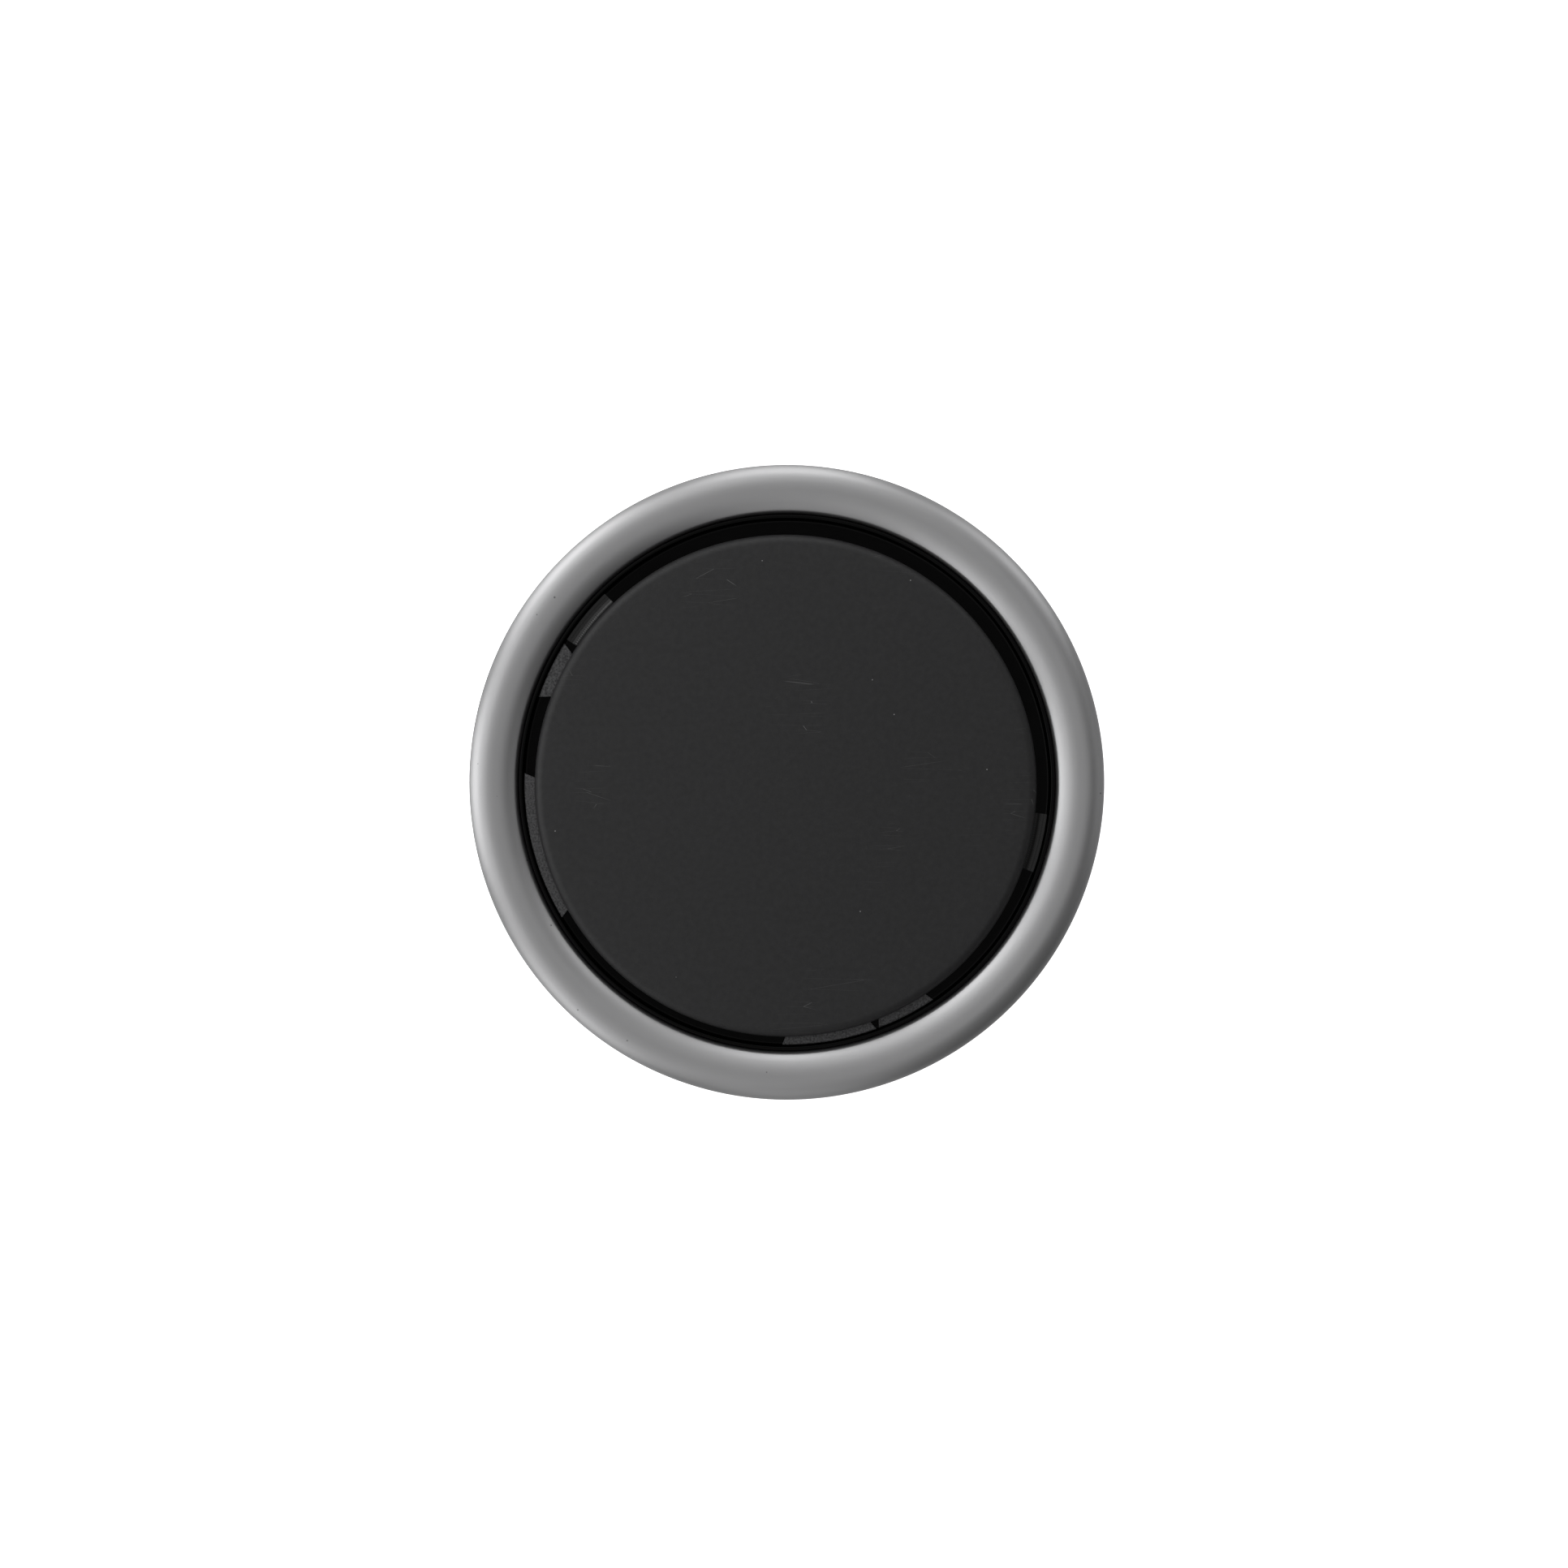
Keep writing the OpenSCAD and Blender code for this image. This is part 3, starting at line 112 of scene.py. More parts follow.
lens_data = bpy.data.cameras.new("overhead_camera")
lens_data.sensor_width = SENSOR
lens_data.lens = SENSOR * (CAMERA_HEIGHT - RIM_PLANE) / FRAME_WIDTH
lens_data.clip_start = 0.01
lens_data.clip_end = 20.0
camera = bpy.data.objects.new("overhead_camera", lens_data)
camera.location = (CAMERA_SIDE[0] * MM, CAMERA_SIDE[1] * MM, CAMERA_HEIGHT * MM)
bpy.context.scene.collection.objects.link(camera)
bpy.context.scene.camera = camera
print("lens", round(lens_data.lens, 2), "mm")

# %% [markdown]
# ## Colour and nodes
# Colours are picked as sRGB hex values, as on a screen, and Blender's shaders want linear light. One
# function turns one into the other. A second small function adds any shader node, with its settings,
# its values and its links, so that a material reads as a short list.

# %% Colour and node helpers


def linear(hex_colour):
    """sRGB hex to linear RGBA: each channel c becomes c/12.92 below 0.04045, else ((c+0.055)/1.055)^2.4."""
    c = np.array([int(hex_colour[i:i + 2], 16) for i in (1, 3, 5)]) / 255
    lin = np.where(c <= 0.04045, c / 12.92, ((c + 0.055) / 1.055) ** 2.4)
    return (*lin.tolist(), 1.0)


def add(tree, kind, settings=None, values=None, links=None):
    """Adds one shader node, sets its own settings and its sockets' values, and links sockets to other outputs."""
    made = tree.nodes.new("ShaderNode" + kind)
    for key, value in (settings or {}).items():
        setattr(made, key, value)
    for key, value in (values or {}).items():
        made.inputs[key].default_value = value
    for key, output in (links or {}).items():
        tree.links.new(output, made.inputs[key])
    return made


def start_material(name, colour, metallic, roughness, **extra):
    """A material with a Principled shader whose constants are set on its own sockets."""
    made = bpy.data.materials.new(name)
    made.use_nodes = True
    tree = made.node_tree
    shader = tree.nodes["Principled BSDF"]
    shader.inputs["Base Color"].default_value = linear(colour)
    shader.inputs["Metallic"].default_value = metallic
    shader.inputs["Roughness"].default_value = roughness
    for key, value in extra.items():
        shader.inputs[key.replace("_", " ").title().replace("Ior", "IOR")].default_value = value
    made.diffuse_color = linear(colour)
    return made, tree, shader


def per_metre(size_mm):
    """Texture scale for a feature of this size: a noise of scale s has features about 1/s metres wide."""
    return 1 / (size_mm * MM)


def emboss(tree, shader, height_mm, height):
    """Bump of a given height from a node's output."""
    bump = add(tree, "Bump", values={"Strength": 1.0, "Distance": height_mm * MM}, links={"Height": height})
    tree.links.new(bump.outputs["Normal"], shader.inputs["Normal"])


def grain(tree, shader, size_mm, height_mm, detail=2.0):
    """Bump of a given feature size and height, on Object coordinates, which it returns."""
    place = add(tree, "TexCoord")
    noise = add(tree, "TexNoise", values={"Scale": per_metre(size_mm), "Detail": detail},
                links={"Vector": place.outputs["Object"]})
    emboss(tree, shader, height_mm, noise.outputs["Fac"])
    return place


def mottle(tree, place, size_mm, low_hex, high_hex, socket, low=0.35, high=0.65):
    """Colour that drifts between two near tones over patches of a given size."""
    cloud = add(tree, "TexNoise", values={"Scale": per_metre(size_mm), "Detail": 3.0},
                links={"Vector": place.outputs["Object"]})
    ramp = add(tree, "ValToRGB", links={"Fac": cloud.outputs["Fac"]})
    ramp.color_ramp.elements[0].position = low
    ramp.color_ramp.elements[1].position = high
    ramp.color_ramp.elements[0].color = linear(low_hex)
    ramp.color_ramp.elements[1].color = linear(high_hex)
    tree.links.new(ramp.outputs["Color"], socket)
    return ramp


print("mid grey is", [round(v, 3) for v in linear("#808080")[:3]], "in linear light")

# %% [markdown]
# ## Surfaces from arrays
# Nearly every part of a disposer was turned, spun or moulded round one axis. So one function carries
# a closed profile round the axis, as a lathe does, and a second rounds a profile's corners the way a
# tool does. The points come out as whole arrays: one axis of the grid runs along the profile, the
# other runs round the turn.

# %% Profiles and lathes


def rounded(corners, steps=6):
    """Closed profile with its corners rounded. Each corner is (r, z, radius): the arc is tangent to both
    neighbouring edges, its centre lies on the corner's bisector at radius / sin(half angle), and a radius
    of 0 keeps the corner sharp."""
    pts = np.array([c[:2] for c in corners], float)
    out = []
    for k, (r, z, radius) in enumerate(corners):
        here, before, after = pts[k], pts[k - 1], pts[(k + 1) % len(pts)]
        if radius <= 0:
            out.append(here[None])
            continue
        u = (before - here) / np.linalg.norm(before - here)
        v = (after - here) / np.linalg.norm(after - here)
        half = math.acos(np.clip(u @ v, -1, 1)) / 2
        reach = radius / math.tan(half)
        centre = here + (u + v) / np.linalg.norm(u + v) * radius / math.sin(half)
        first, last = here + u * reach - centre, here + v * reach - centre
        a0 = math.atan2(first[1], first[0])
        turn = (math.atan2(last[1], last[0]) - a0 + math.pi) % (2 * math.pi) - math.pi
        a = a0 + turn * np.linspace(0, 1, steps + 1)
        out.append(centre + radius * np.stack([np.cos(a), np.sin(a)], 1))
    return np.concatenate(out)


def lathe(profile, steps=256, centre=(0, 0), start=0.0, sweep=360.0):
    """Grid of a profile turned about Z: point (r, z) at angle t goes to (r cos t, r sin t, z)."""
    whole = sweep >= 360
    t = np.radians(start + sweep * np.linspace(0, 1, steps, endpoint=not whole))
    r, z = profile[:, 0], profile[:, 1]
    x = centre[0] + r[None] * np.cos(t)[:, None]
    y = centre[1] + r[None] * np.sin(t)[:, None]
    return np.stack([x, y, np.broadcast_to(z, x.shape)], -1), whole


def grid_faces(nu, nv, wrap_u, wrap_v, first=0):
    """Quads between neighbouring rows and columns; a wrapped side joins its end to its start."""
    i = np.arange(nu if wrap_u else nu - 1)[:, None]
    j = np.arange(nv if wrap_v else nv - 1)[None]
    i2, j2 = (i + 1) % nu, (j + 1) % nv
    quads = np.stack([i * nv + j, i2 * nv + j, i2 * nv + j2, i * nv + j2], -1)
    return quads.reshape(-1, 4) + first


def signed_volume(points, faces):
    """Volume under each face's fan of triangles, summed: it is positive when faces point outwards."""
    a = points[faces[:, 0]]
    total = 0.0
    for k in range(1, faces.shape[1] - 1):
        total += np.einsum("ij,ij->i", a, np.cross(points[faces[:, k]], points[faces[:, k + 1]])).sum()
    return total / 6


class Shell:
    """Collects closed grids, in millimetres, into one mesh."""

    def __init__(self):
        self.points, self.faces, self.count = [], [], 0

    def grid(self, grid, wrap_u, wrap_v=True):
        """Adds a grid. An open end in the u direction is closed with a flat cap."""
        nu, nv = grid.shape[:2]
        pts = grid.reshape(-1, 3)
        faces = grid_faces(nu, nv, wrap_u, wrap_v)
        if signed_volume(pts - pts.mean(0), faces) < 0:
            faces = faces[:, ::-1]
        self.faces += [tuple(f) for f in (faces + self.count).tolist()]
        if not wrap_u:
            self._caps(pts, nu, nv, faces)
        self.points.append(pts)
        self.count += len(pts)
        return self

    def _caps(self, pts, nu, nv, faces):
        """Two end caps, each turned away from the middle of the piece."""
        for first in (0, (nu - 1) * nv):
            loop = np.arange(first, first + nv)
            middle = pts[loop].mean(0)
            normal = np.cross(pts[loop] - middle, np.roll(pts[loop], -1, 0) - middle).sum(0)
            if normal @ (middle - pts.mean(0)) < 0:
                loop = loop[::-1]
            self.faces.append(tuple((loop + self.count).tolist()))

    def turned(self, corners, steps=256, centre=(0, 0), start=0.0, sweep=360.0, fine=6):
        """Adds a rounded profile turned on the lathe."""
        grid, whole = lathe(rounded(corners, fine), steps, centre, start, sweep)
        return self.grid(grid, whole)

    def tube(self, corners, axis, at, steps=48, fine=4):
        """Adds a rounded profile turned about any axis; z = 0 of the profile goes to the point at."""
        grid, whole = lathe(rounded(corners, fine), steps)
        return self.grid(placed(grid, axis, at), whole)

    def box(self, low, high, axis=(0, 0, 1), at=(0, 0, 0)):
        """Adds a block between two corners, in the axis' own directions; it serves only as a cutter."""
        x, y, z = (np.array([low[k], high[k]]) for k in range(3))
        loop = np.array([[x[0], y[0]], [x[1], y[0]], [x[1], y[1]], [x[0], y[1]]])
        grid = np.stack([np.concatenate([loop, np.full((4, 1), h)], 1) for h in z])
        return self.grid(placed(grid, axis, at), False)

    def solid(self, name):
        """Makes the mesh, in metres, with its seams and poles closed."""
        mesh = bpy.data.meshes.new(name)
        mesh.from_pydata((np.concatenate(self.points) * MM).tolist(), [], self.faces)
        merged = bmesh.new()
        merged.from_mesh(mesh)
        bmesh.ops.remove_doubles(merged, verts=merged.verts, dist=1e-7)
        bmesh.ops.dissolve_degenerate(merged, edges=merged.edges, dist=1e-8)
        merged.to_mesh(mesh)
        merged.free()
        made = bpy.data.objects.new(name, mesh)
        bpy.context.scene.collection.objects.link(made)
        return made

    def piece(self, name, slot, body, replaces=(), sharp=35):
        """Makes the mesh and dresses it."""
        return dress(self.solid(name), slot, body, replaces, sharp)


def placed(grid, axis, at):
    """Turns a grid so that its z runs along axis, keeps its y as level as it can, and moves it to at."""
    z = np.array(axis, float) / np.linalg.norm(axis)
    x = np.cross((0, 0, 1), z)
    x = np.array([1.0, 0, 0]) if np.linalg.norm(x) < 1e-9 else x / np.linalg.norm(x)
    return grid @ np.stack([x, np.cross(z, x), z]) + np.array(at, float)


def carve(made, *cutters):
    """Cuts closed shells out of a piece for good, and clears them away."""
    tools = [shell.solid("cutter") for shell in cutters]
    for tool in tools:
        cut = made.modifiers.new("cut", "BOOLEAN")
        cut.operation, cut.solver, cut.object = "DIFFERENCE", "EXACT", tool
    bpy.context.view_layer.update()
    old = [made.data] + [tool.data for tool in tools]
    made.data = bpy.data.meshes.new_from_object(made.evaluated_get(bpy.context.evaluated_depsgraph_get()))
    made.modifiers.clear()
    for tool in tools:
        bpy.data.objects.remove(tool)
    for mesh in old:
        bpy.data.meshes.remove(mesh)
    return made


def merge(made, shell):
    """Adds more closed shells to a piece's mesh."""
    extra = shell.solid("extra")
    mesh = extra.data
    both = bmesh.new()
    both.from_mesh(made.data)
    both.from_mesh(mesh)
    both.to_mesh(made.data)
    both.free()
    bpy.data.objects.remove(extra)
    bpy.data.meshes.remove(mesh)
    return made


def dress(made, slot, body, replaces=(), sharp=35):
    """Gives a piece its finish, its body and its slot, smooth where it bends less than sharp degrees."""
    mesh = made.data
    mesh.polygons.foreach_set("use_smooth", np.ones(len(mesh.polygons), bool))
    mesh.set_sharp_from_angle(angle=math.radians(sharp))
    mesh.materials.clear()
    mesh.materials.append(FINISH[slot])
    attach(made, body)
    if replaces:
        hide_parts(*replaces)
    print(made.name, len(mesh.polygons), "faces")
    return made


print("helpers ready")

# %% [markdown]
# ## Steels
# The rim is pressed stainless that has been bead blasted, so it is evenly dull: a metal with a middling
# roughness and a very fine pebble. The trim shell is rolled sheet that has been brushed round, so its
# roughness and bump run in long thin lines. Zinc plate is brighter and a little blue, and cloudy.

# %% Steels


def bead_blasted_stainless():
    """304 stainless blasted with fine beads: even, satin, with rare dark specks painted in as the shade of tiny
    pits.
    """
    made, tree, shader = start_material("bead_blasted_stainless", "#c3c3c4", 1.0, 0.40)
    place = grain(tree, shader, 0.12, 0.004, detail=3.0)
    # Painted shade: rare dark specks darken the colour where tiny pits would hold shade; the pits have no shape of
    # their own.
    spots = add(tree, "TexVoronoi", values={"Scale": per_metre(5.0), "Randomness": 1.0},
                links={"Vector": place.outputs["Object"]})
    pit_painted_shade = add(tree, "MapRange", values={"From Min": 0.028, "From Max": 0.045, "To Min": 0.45, "To Max": 1.0},
              links={"Value": spots.outputs["Distance"]})
    tone = add(tree, "Mix", {"data_type": "RGBA", "blend_type": "MULTIPLY"},
               {"Factor": 1.0, 6: linear("#c3c3c4")}, {7: pit_painted_shade.outputs["Result"]})
    tree.links.new(tone.outputs[2], shader.inputs["Base Color"])
    wear = add(tree, "TexNoise", values={"Scale": per_metre(9.0), "Detail": 4.0},
               links={"Vector": place.outputs["Object"]})
    rough = add(tree, "MapRange", values={"To Min": 0.37, "To Max": 0.43}, links={"Value": wear.outputs["Fac"]})
    tree.links.new(rough.outputs["Result"], shader.inputs["Roughness"])
    return made


def brushed_trim_stainless():
    """430 stainless sheet, brushed round the shell: the lines are 0.15 mm apart and tens of millimetres long."""
    made, tree, shader = start_material("brushed_trim_stainless", "#b9babc", 1.0, 0.32)
    place = add(tree, "TexCoord")
    lines = add(tree, "Mapping", values={"Scale": (1.0, 1.0, 90.0)}, links={"Vector": place.outputs["Object"]})
    hair = add(tree, "TexNoise", values={"Scale": per_metre(14.0), "Detail": 5.0, "Roughness": 0.7},
               links={"Vector": lines.outputs["Vector"]})
    rough = add(tree, "MapRange", values={"To Min": 0.24, "To Max": 0.42}, links={"Value": hair.outputs["Fac"]})
    tree.links.new(rough.outputs["Result"], shader.inputs["Roughness"])
    emboss(tree, shader, 0.012, hair.outputs["Fac"])
    return made


def bright_zinc_plate():
    """Mild steel with bright zinc: bluish, cloudy over a few millimetres, a little scuffed."""
    made, tree, shader = start_material("bright_zinc_plate", "#a9adb2", 1.0, 0.34)
    place = grain(tree, shader, 0.5, 0.012)
    mottle(tree, place, 6.0, "#8f949a", "#b6babf", shader.inputs["Base Color"])
    return made


def oiled_spring_steel():
    """Hardened and oiled wire: darker and browner than plate."""
    made, tree, shader = start_material("oiled_spring_steel", "#6b6864", 1.0, 0.3)
    place = grain(tree, shader, 0.3, 0.004)
    mottle(tree, place, 3.0, "#5a5753", "#77736e", shader.inputs["Base Color"])
    return made


def rolled_stainless():
    """Cold-rolled and tumbled stainless, as on the turntable and impellers: soft with small scuffs."""
    made, tree, shader = start_material("rolled_stainless", "#b2b3b4", 1.0, 0.33)
    place = grain(tree, shader, 0.8, 0.010, detail=5.0)
    mottle(tree, place, 8.0, "#9a9b9c", "#bcbdbe", shader.inputs["Base Color"])
    return made


def painted_motor_steel():
    """Drawn steel can with a thin dark paint."""
    made, tree, shader = start_material("painted_motor_steel", "#3c3d40", 0.0, 0.4)
    grain(tree, shader, 1.2, 0.02)
    return made


def stacked_laminations():
    """Silicon steel sheet stacked 0.5 mm at a time: fine dark lines across the height."""
    made, tree, shader = start_material("stacked_laminations", "#6a6b6d", 1.0, 0.45)
    place = add(tree, "TexCoord")
    sheets = add(tree, "TexWave", {"bands_direction": "Z"}, {"Scale": per_metre(0.5) / 20},
                 {"Vector": place.outputs["Object"]})
    emboss(tree, shader, 0.05, sheets.outputs["Fac"])
    mottle(tree, place, 4.0, "#5c5d5f", "#76777a", shader.inputs["Base Color"])
    return made


def cast_aluminium():
    """Die-cast aluminium: pale, slightly rough, with a skin that ripples over a millimetre or two."""
    made, tree, shader = start_material("cast_aluminium", "#9fa1a3", 1.0, 0.48)
    place = grain(tree, shader, 1.4, 0.05, detail=5.0)
    mottle(tree, place, 7.0, "#8b8d8f", "#abadaf", shader.inputs["Base Color"])
    return made


def sintered_bronze():
    """Oil-filled sintered bronze: granular and warm."""
    made, tree, shader = start_material("sintered_bronze", "#94703c", 1.0, 0.5)
    place = grain(tree, shader, 0.3, 0.02)
    mottle(tree, place, 1.5, "#7d5c2e", "#a5824c", shader.inputs["Base Color"])
    return made


def enamelled_copper_wire():
    """Bundled 0.8 mm enamelled wire: round ridges that run round the bundle, amber over copper."""
    made, tree, shader = start_material("enamelled_copper_wire", "#9a4f24", 0.6, 0.28)
    place = add(tree, "TexCoord")
    wires = add(tree, "TexWave", {"bands_direction": "Z"}, {"Scale": per_metre(0.8) / 20, "Distortion": 2.0},
                {"Vector": place.outputs["Object"]})
    emboss(tree, shader, 0.3, wires.outputs["Fac"])
    mottle(tree, place, 3.0, "#843e1a", "#ad6431", shader.inputs["Base Color"])
    return made


# %% [markdown]
# ## Plastics and rubber
# Black is never flat black. The cover is a matt moulding with a fine spark texture, a little dust and
# a few hair scratches. The liner is moulded in a polished tool, but its colour and shine are turned down as
# painted shade of a deep channel, and its ramps take a lighter, shinier copy as a painted highlight. The pads
# are coarse, to grip. Rubber is duller than either, and felt is duller still.

# %% Plastics and rubber


def hairlines(tree, place, spacing_mm, width, turn, stretch=14.0):
    """Mask of rare thin scratches: the edge of a stretched cell pattern, kept only where a cloud allows."""
    lay = add(tree, "Mapping", values={"Rotation": (0.0, 0.0, math.radians(turn)), "Scale": (1.0, stretch, 1.0)},
              links={"Vector": place.outputs["Object"]})
    cells = add(tree, "TexVoronoi", {"feature": "DISTANCE_TO_EDGE"}, {"Scale": per_metre(spacing_mm)},
                {"Vector": lay.outputs["Vector"]})
    line = add(tree, "MapRange", values={"From Min": 0.0, "From Max": width, "To Min": 1.0, "To Max": 0.0},
               links={"Value": cells.outputs["Distance"]})
    cloud = add(tree, "TexNoise", values={"Scale": per_metre(spacing_mm * 0.6), "Detail": 1.0},
                links={"Vector": place.outputs["Object"]})
    keep = add(tree, "MapRange", values={"From Min": 0.66, "From Max": 0.72}, links={"Value": cloud.outputs["Fac"]})
    both = add(tree, "Math", {"operation": "MULTIPLY"}, links={0: line.outputs["Result"], 1: keep.outputs["Result"]})
    return both.outputs["Value"]


def matt_cover_plastic():
    """Glass-filled ABS with a fine spark texture: near black, even, with dust and a few hair scratches."""
    made, tree, shader = start_material("matt_cover_plastic", "#232324", 0.0, 0.55)
    place = grain(tree, shader, 0.35, 0.020, detail=4.0)
    base = mottle(tree, place, 1.1, "#202021", "#272728", shader.inputs["Base Color"], 0.3, 0.7)
    dust = add(tree, "TexVoronoi", values={"Scale": per_metre(6.5)}, links={"Vector": place.outputs["Object"]})
    mote = add(tree, "MapRange", values={"From Min": 0.012, "From Max": 0.022, "To Min": 0.55, "To Max": 0.0},
               links={"Value": dust.outputs["Distance"]})
    scratch = add(tree, "Math", {"operation": "MULTIPLY"}, {1: 0.25},
                  {0: hairlines(tree, place, 22.0, 0.004, 25.0)})
    marks = add(tree, "Math", {"operation": "MAXIMUM"},
                links={0: mote.outputs["Result"], 1: scratch.outputs["Value"]})
    tone = add(tree, "Mix", {"data_type": "RGBA"}, {7: linear("#b9b9b9")},
               {"Factor": marks.outputs["Value"], 6: base.outputs["Color"]})
    tree.links.new(tone.outputs[2], shader.inputs["Base Color"])
    return made


def liner_plastic_painted_shade():
    """Polypropylene from a polished tool, with faint flow ripples; its colour and shine are turned down to near
    nothing as painted shade, so the channel round the cover shows black like a deep groove.
    """
    made, tree, shader = start_material("liner_plastic_painted_shade", "#030303", 0.0, 0.2, specular_ior_level=0.12)
    grain(tree, shader, 3.0, 0.03, detail=1.0)
    return made


def ramp_plastic_painted_highlight():
    """The liner's own plastic as a lit copy: lighter, with full shine, a painted highlight where the cover slides on
    it.
    """
    made, tree, shader = start_material("ramp_plastic_painted_highlight", "#0a0a0a", 0.0, 0.2)
    grain(tree, shader, 0.5, 0.004)
    return made


def grained_pad_plastic():
    """Thermoplastic elastomer with a coarse spark grain of about 0.35 mm."""
    made, tree, shader = start_material("grained_pad_plastic", "#2b2b2c", 0.0, 0.5)
    place = grain(tree, shader, 0.34, 0.10, detail=3.0)
    mottle(tree, place, 0.34, "#262627", "#555556", shader.inputs["Base Color"])
    return made


def moulded_rubber():
    """Nitrile rubber: dull black with a grey bloom."""
    made, tree, shader = start_material("moulded_rubber", "#191919", 0.0, 0.72)
    place = grain(tree, shader, 0.5, 0.02)
    mottle(tree, place, 5.0, "#161616", "#212121", shader.inputs["Base Color"])
    return made


def pressed_fibre():
    """Pressed cellulose gasket sheet: fibrous grey-brown card."""
    made, tree, shader = start_material("pressed_fibre", "#57514a", 0.0, 0.9)
    place = grain(tree, shader, 0.6, 0.06, detail=6.0)
    mottle(tree, place, 1.5, "#4a453f", "#665f56", shader.inputs["Base Color"])
    return made


def moulded_nylon():
    """Natural grey nylon: slightly waxy."""
    made, tree, shader = start_material("moulded_nylon", "#5b5c5e", 0.0, 0.42)
    place = grain(tree, shader, 0.7, 0.015)
    mottle(tree, place, 6.0, "#545557", "#626365", shader.inputs["Base Color"])
    return made


def spark_grained_abs():
    """Black ABS with a fine spark grain, as on the base and the switch pod."""
    made, tree, shader = start_material("spark_grained_abs", "#1f2021", 0.0, 0.5)
    place = grain(tree, shader, 0.5, 0.05, detail=3.0)
    mottle(tree, place, 9.0, "#1b1c1d", "#242526", shader.inputs["Base Color"])
    return made


def glass_filled_hopper():
    """Glass-filled polypropylene: charcoal with faint grey swirls of fibre."""
    made, tree, shader = start_material("glass_filled_hopper", "#2c2d2f", 0.0, 0.46)
    place = grain(tree, shader, 0.9, 0.03, detail=4.0)
    mottle(tree, place, 12.0, "#262729", "#343538", shader.inputs["Base Color"])
    return made


def pressed_felt():
    """Needled felt: matted fibres a millimetre or so long."""
    made, tree, shader = start_material("pressed_felt", "#4b4d50", 0.0, 1.0)
    place = grain(tree, shader, 0.9, 0.3, detail=8.0)
    mottle(tree, place, 2.5, "#3d3f42", "#5a5c60", shader.inputs["Base Color"])
    return made


def glossy_red_button():
    """Polished red acetal."""
    made, tree, shader = start_material("glossy_red_button", "#a8231c", 0.0, 0.22)
    grain(tree, shader, 1.0, 0.006)
    return made


def capacitor_case():
    """Moulded phenolic case: dark, even, half matt."""
    made, tree, shader = start_material("capacitor_case", "#26272a", 0.0, 0.4)
    grain(tree, shader, 0.8, 0.02)
    return made


def green_passivated_steel():
    """Zinc plate dyed green, which marks the earth screw."""
    made, tree, shader = start_material("green_passivated_steel", "#2f7a3d", 0.7, 0.35)
    grain(tree, shader, 0.5, 0.01)
    return made


FINISH = {
    "satin_steel": bead_blasted_stainless(), "seal_rubber": moulded_rubber(),
    "liner_plastic": liner_plastic_painted_shade(), "grained_pad": grained_pad_plastic(),
    "cover_plastic": matt_cover_plastic(), "gasket_fibre": pressed_fibre(),
    "zinc_plate": bright_zinc_plate(), "spring_steel": oiled_spring_steel(),
    "grey_nylon": moulded_nylon(), "pod_plastic": spark_grained_abs(),
    "hopper_plastic": glass_filled_hopper(), "cast_aluminium": cast_aluminium(),
    "stainless": rolled_stainless(), "bronze": sintered_bronze(),
    "lamination_steel": stacked_laminations(), "enamelled_copper": enamelled_copper_wire(),
    "motor_steel": painted_motor_steel(), "jacket_foam": pressed_felt(),
    "trim_steel": brushed_trim_stainless(), "button_red": glossy_red_button(),
    "capacitor_can": capacitor_case(), "ground_green": green_passivated_steel(),
}
print(len(FINISH), "finishes")

# %% [markdown]
# ## Finishes on the CAD parts
# Each CAD part keeps its own mesh and gets the finish that its record slot names.

# %% Put the finishes on
for row in frame["record"]["subparts"]:
    part = frame["nodes"][row["node"]]
    part.data.materials.clear()
    part.data.materials.append(FINISH[row["material_slot"]])

# %% [markdown]
# ## The sink flange
# The flange is one pressing: a domed rim, a rolled lip, a narrow ledge and a tube that goes down through
# the sink. All of it is one profile, 1.2 mm thick, so it is turned in one go. The rim's outside and its
# inside are two arcs that meet at the crest with one tangent, which is what makes the soft highlight.

# %% Turn the sink flange
SHEET = 1.2
MOUTH_R = 48.6
THROAT_R = 43.0
CREST_R = 53.3
OUTER_R = 5.5
INNER_R = 6.6
LIP_R = 1.3
EDGE_ROUND = 0.45
LIP_WALL = 0.9
GROOVE_ROOM = 0.1
seal_top = span("sink_seal")[1][2]
crest_z = rim_high[2]


def arc(centre, radius, a0, a1, steps):
    """Points on a circle's arc from a0 to a1 degrees: centre + radius (cos a, sin a)."""
    a = np.radians(np.linspace(a0, a1, steps))
    return np.stack([centre[0] + radius * np.cos(a), centre[1] + radius * np.sin(a)], 1)


outer_at = (CREST_R, crest_z - OUTER_R)
inner_at = (CREST_R, crest_z - INNER_R)
blend = math.asin((CREST_R - MOUTH_R - LIP_R) / (INNER_R - LIP_R))
lip_at = (MOUTH_R + LIP_R, inner_at[1] + (INNER_R - LIP_R) * math.cos(blend))
blend_deg = 90 + math.degrees(blend)
# The small round at the rim's edge touches the outer arc from inside and the edge's upright wall
edge_reach = rim_r - EDGE_ROUND - CREST_R
edge_deg = math.degrees(math.acos(edge_reach / (OUTER_R - EDGE_ROUND)))
edge_at = (rim_r - EDGE_ROUND, outer_at[1] + (OUTER_R - EDGE_ROUND) * math.sin(math.radians(edge_deg)))
inside_deg = math.degrees(math.acos((rim_r - CREST_R - SHEET) / (OUTER_R - SHEET)))

